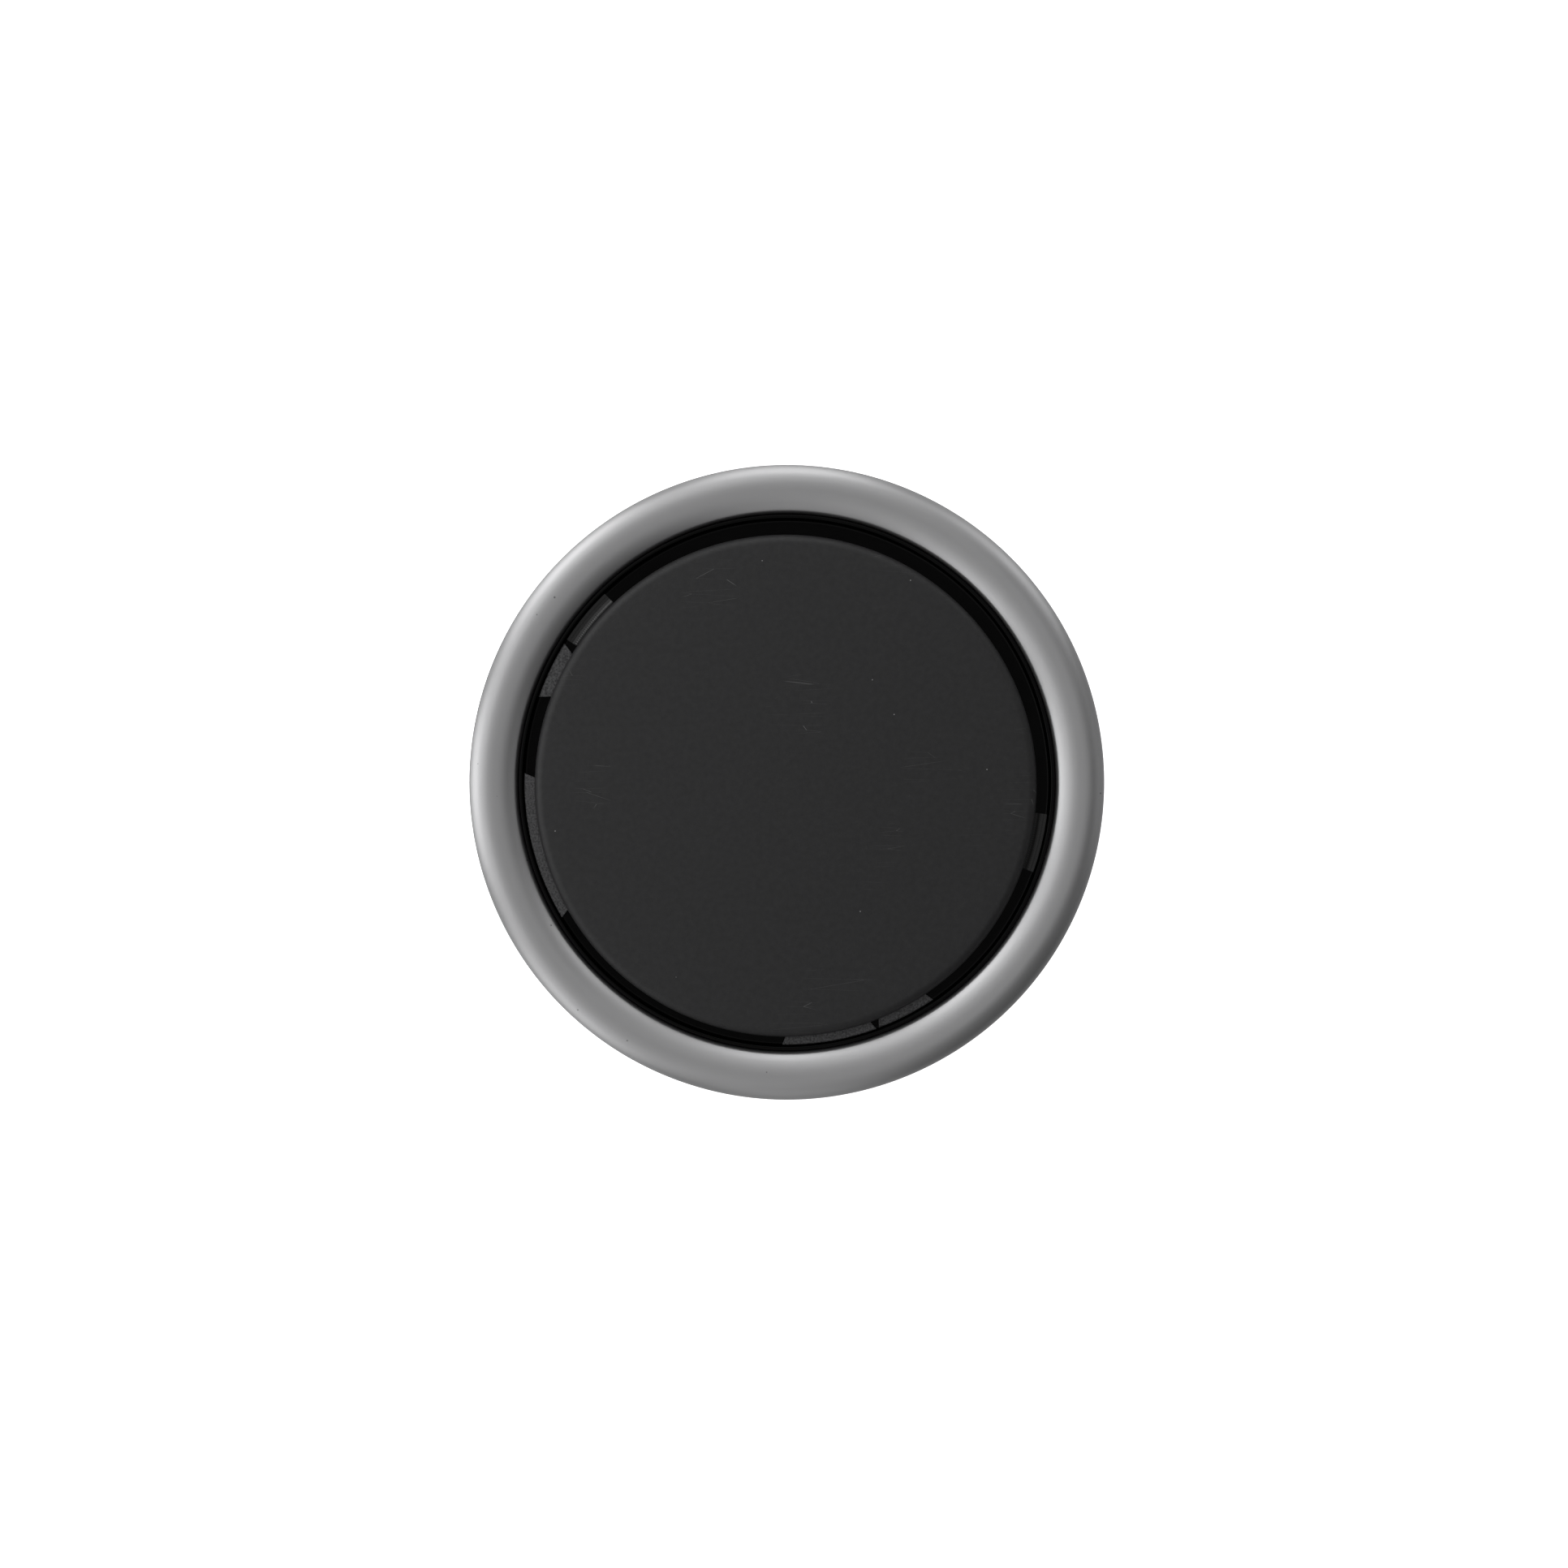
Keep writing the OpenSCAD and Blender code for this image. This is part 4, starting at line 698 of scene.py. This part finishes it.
groove_z = span("snap_ring")[0][2] - GROOVE_ROOM
groove_top = span("snap_ring")[1][2] + GROOVE_ROOM
ledge_z = seal_top + SHEET
throat_in_r = THROAT_R - SHEET
groove_r = THROAT_R - SHEET / 2
flange_line = np.concatenate([
    [[rim_r, seal_top]],
    arc(edge_at, EDGE_ROUND, 0, edge_deg, 8),
    arc(outer_at, OUTER_R, edge_deg, 90, 24)[1:],
    arc(inner_at, INNER_R, 90, blend_deg, 24)[1:],
    arc(lip_at, LIP_R, blend_deg, 180, 16)[1:],
    rounded([(MOUTH_R, ledge_z + LIP_WALL, 0), (MOUTH_R, ledge_z, 0.8),
             (throat_in_r, ledge_z, 1.0), (throat_in_r, rim_low[2], 0.4),
             (THROAT_R, rim_low[2], 0.4), (THROAT_R, groove_z, 0), (groove_r, groove_z, 0),
             (groove_r, groove_top, 0), (THROAT_R, groove_top, 0),
             (THROAT_R, seal_top, 0.6), (MOUTH_R + SHEET, seal_top, 0.6),
             (MOUTH_R + SHEET, lip_at[1], 0)]),
    arc(lip_at, LIP_R - SHEET, 180, blend_deg, 10)[1:],
    arc(inner_at, INNER_R - SHEET, blend_deg, 90, 14)[1:],
    arc(outer_at, OUTER_R - SHEET, 90, inside_deg, 14)[1:],
    [[rim_r - SHEET, seal_top]],
])
flange = Shell()
grid, whole = lathe(flange_line, 360)
flange.grid(grid, whole)
flange.piece("flange_pressing", "satin_steel", "body", ["sink_flange"])

# %% [markdown]
# ## The throat liner
# Inside the lip lies the liner: a shelf with a low upstand, and a tube down the throat. It is moulded in a
# polished tool, but its colour and shine are turned down as painted shade, so it shows as black with thin
# reflections along its rounded edges.

# %% Mould the liner
liner_low, liner_high = span("throat_liner")
liner_r = radius_of("throat_liner")
shelf_z = span("seat_pads")[0][2]
LINER_T = 0.8
LINER_WALL = 1.6
LINER_PLAY = 0.2
TUBE_R = THROAT_R - SHEET - LINER_PLAY
liner = Shell()
liner.turned([(liner_r, shelf_z - LINER_T, 0.25), (liner_r, liner_high[2], 0.3),
              (liner_r - LINER_T, liner_high[2], 0.3), (liner_r - LINER_T, shelf_z, 0.6),
              (TUBE_R - LINER_WALL, shelf_z, 1.1), (TUBE_R - LINER_WALL, liner_low[2], 0.5),
              (TUBE_R, liner_low[2], 0.5), (TUBE_R, shelf_z - LINER_T, 0)], 256)
# The liner's finish is turned dark as painted shade of a deep channel.
liner.piece("liner_moulding", "liner_plastic", "body", ["throat_liner"])

# %% [markdown]
# ## Seat pads and ramps
# The cover rests on grained pads, and glossy ramps guide it round. Each is a curved bar: a cross section
# carried round an arc. A pad's ends are cut at a slant, so the section's angle also depends on its radius:
# angle = a0 + skew * (1 - share of the width), and the same from the other end. A ramp's top is dished, and
# ripples faintly along its length, as a worn slide does.

# %% Mould the pads and ramps
pad_r = reach_of("seat_pads")
PAD_W = 4.8
PAD_SKEW = 2.5
PADS = [(178, 211, 0.90), (148, 161, 0.72), (269, 290, 0.90), (290.5, 304, 0.63)]
RAMPS = [(134, 147), (340, 353)]
RAMP_H = 0.8
RAMP_STEPS = 210


def curved_bar(section, a0, a1, skew, steps):
    """Grid of a cross section (r, z) carried from a0 to a1 degrees, with slanted ends."""
    share = (section[:, 0] - section[:, 0].min()) / np.ptp(section[:, 0])
    s = np.linspace(0, 1, steps)[:, None]
    a = np.radians((a0 + skew * (1 - share)) * (1 - s) + (a1 - skew * (1 - share)) * s)
    r, z = section[:, 0], section[:, 1]
    return np.stack([r * np.cos(a), r * np.sin(a), np.broadcast_to(z, a.shape)], -1)


pads = Shell()
for a0, a1, height in PADS:
    top = shelf_z + height
    section = rounded([(pad_r, shelf_z, 0), (pad_r, top, 0.35), (pad_r - PAD_W, top, 0.25),
                       (pad_r - PAD_W, shelf_z, 0)], 5)
    pads.grid(curved_bar(section, a0, a1, PAD_SKEW, 40), False)
pads.piece("pad_mouldings", "grained_pad", "body", ["seat_pads"])

ramps = Shell()
DISH_W = 2.6
DISH_LOW = 0.7
DISH_FLOOR = 0.05
RIPPLE = 0.010
RIPPLE_COUNT = 26
RIPPLE_FROM = 0.1
u = np.linspace(0, 1, 15)[:, None]
dish = np.concatenate([pad_r - DISH_W * (1 - u),
                       shelf_z + DISH_FLOOR + (RAMP_H - DISH_FLOOR) * ((u - DISH_LOW) / DISH_LOW) ** 2], 1)
section = np.concatenate([[[pad_r, shelf_z], [pad_r - PAD_W, shelf_z], [pad_r - PAD_W, shelf_z + RAMP_H]], dish])
along = np.linspace(0, 1, RAMP_STEPS)[:, None]
for a0, a1 in RAMPS:
    grid = curved_bar(section, a0, a1, 0, RAMP_STEPS)
    lifted = np.clip((grid[:, :, 2] - shelf_z) / RIPPLE_FROM, 0, 1)
    grid[:, :, 2] -= lifted * RIPPLE * (1 + np.cos(2 * np.pi * RIPPLE_COUNT * along))
    ramps.grid(grid, False)
made = ramps.piece("ramp_mouldings", "liner_plastic", "body", ["cam_ramps"])
# The ramps take a lit copy of the liner's plastic, lighter and shinier, as a painted highlight.
made.data.materials[0] = ramp_plastic_painted_highlight()

# %% [markdown]
# ## The sink mount
# Everything that clamps the sink is round, so each piece is a profile with its corners eased: the rim's
# seal, the fibre gasket, the pressed backup flange and the rubber cushion that holds the hopper's lip.

# %% Turn the mount's rings
MOUNT_PLAY = 0.4
CUSHION_PLAY, CUSHION_SKIRT = 0.2, 1.2
CUSHION_STEP, CUSHION_TOP = 4.6, 2.4


def collar(name, node, inner_r, ease, slot):
    """A flat ring with eased corners in place of a CAD ring."""
    low, high = span(node)
    outer_r = radius_of(node)
    made = Shell()
    made.turned([(inner_r, low[2], ease), (outer_r, low[2], ease), (outer_r, high[2], ease),
                 (inner_r, high[2], ease)], 192, fine=4)
    return made.piece(name, slot, "body", [node])


collar("rim_seal", "sink_seal", THROAT_R + SHEET, 0.35, "seal_rubber")
collar("gasket_card", "fibre_gasket", THROAT_R + MOUNT_PLAY, 0.15, "gasket_fibre")
collar("backup_pressing", "backup_flange", THROAT_R + MOUNT_PLAY, 0.6, "zinc_plate")

cushion_low, cushion_high = span("mount_cushion")
cushion_r = radius_of("mount_cushion")
cushion = Shell()
cushion_in_r = THROAT_R + CUSHION_PLAY
skirt_z = cushion_low[2] + CUSHION_SKIRT
cushion.turned([(cushion_in_r, cushion_low[2], 0.2), (cushion_r, cushion_low[2], 0.3),
                (cushion_r, skirt_z, 0.4), (THROAT_R + CUSHION_STEP, skirt_z, 1.0),
                (THROAT_R + CUSHION_TOP, cushion_high[2], 0.5), (cushion_in_r, cushion_high[2], 0.2)], 192)
cushion.piece("cushion_moulding", "seal_rubber", "body", ["mount_cushion"])

# %% [markdown]
# ## The cover's disc
# The disc is moulded with a soft round edge, and its face is very slightly crowned so that water runs off.
# The crown is a shallow parabola: the face drops by the square of the distance from the middle.

# %% Turn the cover's disc
cover_low, cover_high = span("cover_disc")
cover_mid = tuple(((cover_low + cover_high) / 2)[:2])
cover_r = radius_of("cover_disc")
CROWN = 0.15
EDGE_R = 1.8
rings = np.linspace(0, 1, 14)[:, None] * (cover_r - EDGE_R)
face = np.concatenate([rings, cover_high[2] - CROWN * (rings / (cover_r - EDGE_R)) ** 2], 1)
edge = arc((cover_r - EDGE_R, cover_high[2] - CROWN - EDGE_R), EDGE_R, 90, 0, 12)[1:]
under = rounded([(cover_r, cover_low[2] + 0.3, 0), (cover_r, cover_low[2], 0.2), (0, cover_low[2], 0)], 4)
disc = Shell()
grid, whole = lathe(np.concatenate([face, edge, under]), 256, cover_mid)
disc.grid(grid, whole)
disc.piece("cover_moulding", "cover_plastic", "cover", ["cover_disc"])

# %% [markdown]
# ## The hopper
# The hopper is one moulding: a lip, a neck with a ledge inside for the trip ring, a sloping shoulder and a
# bolted flange. It is turned with its corners eased, and then the wells for the flange screws, the
# dishwasher inlet's bore and the plunger's hole are cut out of it. The inlet's barbs hold a hose.

# %% Mould the hopper
hopper_low, hopper_high = span("hopper")
ring_low, ring_high = span("hopper_gasket")
joint_z = ring_high[2]
lip_top = hopper_high[2]
NECK_IN_R, NECK_R, LIP_OUT_R = 46.0, 50.0, 54.2
LIP_T = 2.0
FLANGE_T = 3.2
LEDGE_R = 41.87
LEDGE_T = 2.8
NECK_L = 58.0
SHOULDER_OUT_R, SHOULDER_IN_R = 71.0, 63.0
WELL_R, SCREW_R, WELL_CIRCLE = 5.2, 2.6, 72.5
INLET_R, BORE_R, COLLAR_R = 11.1, 8.5, 12.5
INLET_OUT = 21.0
INLET_INTO_LEDGE = 1.5
BARBS, FIRST_BARB, BARB_PITCH, BARB_DEPTH = 3, 8, 4, 0.6
PLUNGER_HOLE_R = 2.05
PLUNGER_HOLE = (40, 56)
POD_AT = 250
TRIP_PLAY = 0.3
WALL_DROP = 4.0
UP, DOWN, INLET_SIDE = (0, 0, 1), (0, 0, -1), (0, 1, 0)
joint_r = -hopper_low[0]
flange_top = joint_z + FLANGE_T
ledge_top = span("trip_ring")[0][2] - TRIP_PLAY
shoulder_top = lip_top - LIP_T - NECK_L
inlet_z = ledge_top - LEDGE_T - INLET_R + INLET_INTO_LEDGE
plunger_low, plunger_high = span("switch_plunger")
plunger_z = (plunger_low[2] + plunger_high[2]) / 2

hopper = Shell()
hopper.turned([
    (NECK_IN_R, lip_top, 0.5), (LIP_OUT_R, lip_top, 0.6), (LIP_OUT_R, lip_top - LIP_T, 0.6),
    (NECK_R, lip_top - LIP_T, 1.0), (NECK_R, shoulder_top, 6.0), (SHOULDER_OUT_R, flange_top, 1.5),
    (joint_r, flange_top, 0.5), (joint_r, joint_z, 0.3), (SHOULDER_IN_R, joint_z, 0.5),
    (NECK_IN_R, shoulder_top - WALL_DROP, 4.0), (NECK_IN_R, ledge_top - LEDGE_T, 0.5),
    (LEDGE_R, ledge_top - LEDGE_T, 0.5), (LEDGE_R, ledge_top, 0.4), (NECK_IN_R, ledge_top, 0.4),
], 256)


def at_polar(angle, distance, z):
    """A point at an angle in degrees and a distance from the axis."""
    a = math.radians(angle)
    return (distance * math.cos(a), distance * math.sin(a), z)


def circle_of(radius, count, first, z):
    """Points spread evenly round the axis."""
    return [at_polar(first + 360 * k / count, radius, z) for k in range(count)]


def drill(radius, start, end):
    """Profile of a round cutter from start to end along its axis."""
    return [(0, start, 0), (radius, start, 0), (radius, end, 0), (0, end, 0)]


wells, bolts, bore = Shell(), Shell(), Shell()
for at in circle_of(WELL_CIRCLE, 6, 30, flange_top):
    wells.tube(drill(WELL_R, 0, 30), UP, at)
    bolts.tube(drill(SCREW_R, -6, 1), UP, at)
bore.tube(drill(BORE_R, 0, 20), INLET_SIDE, (0, NECK_IN_R - 6, inlet_z), 64)
bore.tube(drill(PLUNGER_HOLE_R, *PLUNGER_HOLE), at_polar(POD_AT, 1, 0), (0, 0, plunger_z))
moulding = carve(hopper.solid("hopper_moulding"), wells, bolts, bore)

barb = [(BORE_R, NECK_R - 2.5, 0), (COLLAR_R, NECK_R - 2.5, 0), (COLLAR_R, NECK_R + 2, 0.5),
        (INLET_R, NECK_R + 2, 0.4)]
for k in range(BARBS):
    root = NECK_R + FIRST_BARB + BARB_PITCH * k
    barb += [(INLET_R, root, 0.1), (INLET_R - BARB_DEPTH, root + 0.3, 0), (INLET_R - BARB_DEPTH, root + 1, 0)]
inlet_end = NECK_R + INLET_OUT
barb += [(INLET_R, inlet_end - 1.2, 0.3), (INLET_R - 0.8, inlet_end, 0.3), (BORE_R, inlet_end, 0.4)]
inlet = Shell().tube(barb, INLET_SIDE, (0, 0, inlet_z), 96)
dress(merge(moulding, inlet), "hopper_plastic", "body", ["hopper"])

# %% [markdown]
# ## Trim shell and base
# The trim shell is thin sheet with a soft shoulder and a window for the outlet. The base is a cup with an
# eased foot. Its floor is cut for the wrench, the conduit, the reset button and the terminal plate, and
# three posts inside it take the long screws.

# %% Roll the trim shell and mould the base
trim_low, trim_high = span("trim_shell")
base_low, base_high = span("bottom_cover")
body_r = -trim_low[0]
SHELL_T = 1.2
WINDOW_W, WINDOW_H = 34.0, 25.25
WINDOW_FROM, WINDOW_TO = 40, 120
OUTLET_DROP = 48.8
outlet_z = ring_low[2] - OUTLET_DROP
trim_in_r = joint_r + 0.2
under_z = trim_high[2] - SHELL_T
trim = Shell()
trim.turned([(body_r, trim_low[2], 0.4), (body_r, trim_high[2], 2.0), (trim_in_r, trim_high[2], 0.3),
             (trim_in_r, under_z, 0), (body_r - SHELL_T, under_z, 0.8),
             (body_r - SHELL_T, trim_low[2], 0.2)], 256)
window = Shell().box((-WINDOW_W, -WINDOW_H, WINDOW_FROM), (WINDOW_W, WINDOW_H, WINDOW_TO),
                     (1, 0, 0), (0, 0, outlet_z))
dress(carve(trim.solid("trim_sheet"), window), "trim_steel", "body", ["trim_shell"])

BASE_WALL, FLOOR_T = 2.2, 2.5
POST_R, POST_BORE_R, POST_CIRCLE, POST_FIRST = 6.0, 2.1, 66.0, 70
POST_INTO_FLOOR = 0.3
HEAD_WELL_R = 4.0
WRENCH, CONDUIT, RESET = (9.0, 0, 0), (11.1, 212, 50), (4.3, 40, 46)
foot, deck = base_low[2], base_low[2] + FLOOR_T


def floor_hole(radius, angle, distance, depth=2 * FLOOR_T):
    """Cutter for a round hole up through the base's floor."""
    return Shell().tube(drill(radius, -1, depth), UP, at_polar(angle, distance, foot), 64)


cup = Shell()
cup.turned([(0, foot, 0), (body_r, foot, 3.0), (body_r, base_high[2], 0.4),
            (body_r - BASE_WALL, base_high[2], 0.4), (body_r - BASE_WALL, deck, 1.5), (0, deck, 0)], 256)
PLATE_AT, PLATE_DISTANCE = 145, 46
side = np.array(at_polar(PLATE_AT, 1, 0))
across = np.array(at_polar(PLATE_AT + 90, 1, 0))


def plate_block(low, high):
    """Cutter for a block in the terminal plate's own directions: outward, across and up from the foot."""
    corners = Shell().box(low, high)
    pts = corners.points[0]
    centre = np.array(at_polar(PLATE_AT, PLATE_DISTANCE, foot))
    corners.points[0] = centre + pts[:, :1] * side + pts[:, 1:2] * across + pts[:, 2:] * np.array(UP)
    return corners


cuts = [floor_hole(*WRENCH), floor_hole(*CONDUIT), floor_hole(*RESET)]
cuts += [plate_block((-15, -17, -1), (15, 17, 1.2)), plate_block((-13, -15, -1), (13, 9, 6))]
cuts += [floor_hole(HEAD_WELL_R, POST_FIRST + 120 * k, POST_CIRCLE, FLOOR_T + 0.01) for k in range(3)]
base = carve(cup.solid("base_moulding"), *cuts)
posts = Shell()
post_foot = deck - POST_INTO_FLOOR
for at in circle_of(POST_CIRCLE, 3, POST_FIRST, 0):
    posts.tube([(POST_BORE_R, post_foot, 0), (POST_R, post_foot, 0), (POST_R, base_high[2], 0.3),
                (POST_BORE_R, base_high[2], 0.3)], UP, at)
dress(merge(base, posts), "pod_plastic", "body", ["bottom_cover"])

# %% [markdown]
# ## Screws
# A screw is a head with a hexagon socket and a shank with a real thread. The thread is one formula: the
# radius falls and rises once per pitch, and the phase turns with the angle, so the ridge climbs as a helix:
# r = d/2 - depth * (1 + cos(2 pi z / pitch - angle)) / 2, with a depth of 0.6 of the pitch.

# %% Cut the screws
THREAD_DEPTH = 0.6
CLAMP_AT = (52, 3, 60)
CLAMP_L = 25


def screws(name, node, seats, axis, d, length, head_r, head_h, pitch):
    """Screws whose heads stand on the seats and point along the axis."""
    z = np.arange(-length, 0.2, pitch / 8)[:, None]
    angle = np.linspace(0, 2 * np.pi, 28, endpoint=False)[None]
    lead_in = 1 - 0.15 * (1 - np.clip((z + length) / pitch, 0, 1))
    r = (d / 2 - THREAD_DEPTH * pitch * (1 + np.cos(2 * np.pi * z / pitch - angle)) / 2) * lead_in
    thread = np.stack([r * np.cos(angle), r * np.sin(angle), z + 0 * angle], -1)
    heads, sockets, shanks = Shell(), Shell(), Shell()
    for at in seats:
        heads.tube([(0, 0, 0), (head_r, 0, 0.2), (head_r, head_h, 0.3 * head_h), (0, head_h, 0)], axis, at, 40)
        sockets.tube([(0, head_h * 2 / 3, 0), (head_r / 2, head_h * 2 / 3, 0),
                      (head_r / 2, 2 * head_h, 0), (0, 2 * head_h, 0)], axis, at, 6)
        shanks.grid(placed(thread, axis, at), False)
    made = merge(carve(heads.solid(name), sockets), shanks)
    return dress(made, "zinc_plate", "body", [node])


mount_top = span("mount_screws")[1][2]
screws("clamp_screws", "mount_screws", circle_of(*CLAMP_AT, mount_top - CLAMP_L), DOWN, 6, CLAMP_L, 4.4, 3, 1.0)
screws("flange_screws", "hopper_screws", circle_of(WELL_CIRCLE, 6, 30, flange_top), UP, 5, 7.6, 4.8, 3.5, 0.8)
screws("floor_screws", "base_screws", circle_of(POST_CIRCLE, 3, POST_FIRST, deck), DOWN, 4, 23.5, 3.8, 2.1, 0.7)

# %% [markdown]
# ## Floor and light
# The floor is a white light table, as used for catalogue pictures: it glows enough to stay white behind
# the part, and its glow is turned down under and round the base as a painted shadow, so that the part still
# looks as if it stands on something. Soft boxes
# hang round the table in two rings. Both are brightest towards the upper left, as if the booth's open
# side faced a window: a box's strength is peak * (1 + cos(azimuth - window)) / 2. The table glows for
# the camera and is dim to everything else, so that it doesn't light the part's edge from below.

# %% Lay the floor and hang the lights
TABLE_HALF = 6.0
GLOW = 1.15
# Painted shadow: round the base the glow falls to this lower strength, rising to full between the two distances
# below.
PAINTED_SHADOW_GLOW = 0.55
PAINTED_SHADOW_FROM, PAINTED_SHADOW_TO = 0.3219, 0.3304
UNDER_GLOW = 0.30
BOX_SIZE = 0.55
BOX_REACH = 1.1
LOW_PEAK, LOW_WINDOW = 2.1, 140
MIDDLE_PEAK, MIDDLE_WINDOW = 0.85, 160
HIGH_WATTS = 0.30
FAINTEST = 0.02
ROOM = 0.0716
BACKDROP = 0.80


def lay_floor():
    """A wide plane under the base; its glow is turned down round the base's edge as a painted shadow, and rises to
    full strength a little way out.
    """
    mesh = bpy.data.meshes.new("light_table")
    h, z = TABLE_HALF, float(cad_low[2])
    mesh.from_pydata([(-h, -h, z), (h, -h, z), (h, h, z), (-h, h, z)], [], [(0, 1, 2, 3)])
    floor = bpy.data.objects.new("light_table", mesh)
    bpy.context.scene.collection.objects.link(floor)
    made, tree, shader = start_material("white_light_table", "#f2f2f2", 0.0, 0.6)
    place = add(tree, "TexCoord")
    reach = add(tree, "VectorMath", {"operation": "LENGTH"}, links={0: place.outputs["Object"]})
    # Painted shadow: the glow is lower near the base, in place of the shade the part would cast on the table.
    glow_with_painted_shadow = add(tree, "MapRange", {"interpolation_type": "SMOOTHSTEP"},
               {"From Min": PAINTED_SHADOW_FROM, "From Max": PAINTED_SHADOW_TO, "To Min": PAINTED_SHADOW_GLOW, "To Max": GLOW},
               {"Value": reach.outputs["Value"]})
    shader.inputs["Emission Color"].default_value = (1, 1, 1, 1)
    path = add(tree, "LightPath")
    seen = add(tree, "Mix", {"data_type": "FLOAT"}, {2: UNDER_GLOW},
               {"Factor": path.outputs["Is Camera Ray"], 3: glow_with_painted_shadow.outputs["Result"]})
    tree.links.new(seen.outputs[0], shader.inputs["Emission Strength"])
    mesh.materials.append(made)


def soft_box(name, place, target, size, watts):
    """A square area light, turned to face its target."""
    light = bpy.data.lights.new(name, "AREA")
    light.shape, light.size, light.energy = "SQUARE", size, watts
    made = bpy.data.objects.new(name, light)
    made.location = place
    made.rotation_euler = (Vector(target) - Vector(place)).to_track_quat("-Z", "Y").to_euler()
    bpy.context.scene.collection.objects.link(made)


def ring_of_boxes(name, elevation, count, peak, window=None):
    """Soft boxes at one elevation, evenly round the table, brightest at the window's azimuth if there is one."""
    up = math.radians(elevation)
    for k in range(count):
        a = 2 * math.pi * k / count
        share = 1.0 if window is None else (1 + math.cos(a - math.radians(window))) / 2
        place = BOX_REACH * np.array([math.cos(up) * math.cos(a), math.cos(up) * math.sin(a), math.sin(up)])
        if peak * share > FAINTEST:
            soft_box(f"{name}_{k}", place.tolist(), (0, 0, 0), BOX_SIZE, peak * share)


lay_floor()
ring_of_boxes("low_box", 20, 8, LOW_PEAK, LOW_WINDOW)
ring_of_boxes("middle_box", 45, 8, MIDDLE_PEAK, MIDDLE_WINDOW)
ring_of_boxes("high_box", 70, 4, HIGH_WATTS)

world = bpy.data.worlds.new("studio_room")
bpy.context.scene.world = world
world.use_nodes = True
backdrop = world.node_tree.nodes["Background"]
backdrop.inputs["Color"].default_value = (1.0, 1.0, 1.0, 1.0)
path = add(world.node_tree, "LightPath")
seen = add(world.node_tree, "Mix", {"data_type": "FLOAT"}, {2: ROOM, 3: BACKDROP},
           {"Factor": path.outputs["Is Camera Ray"]})
world.node_tree.links.new(seen.outputs[0], backdrop.inputs["Strength"])
bpy.context.scene.view_settings.view_transform = "Standard"
print("floor at", round(float(cad_low[2]) / MM, 2), "mm")
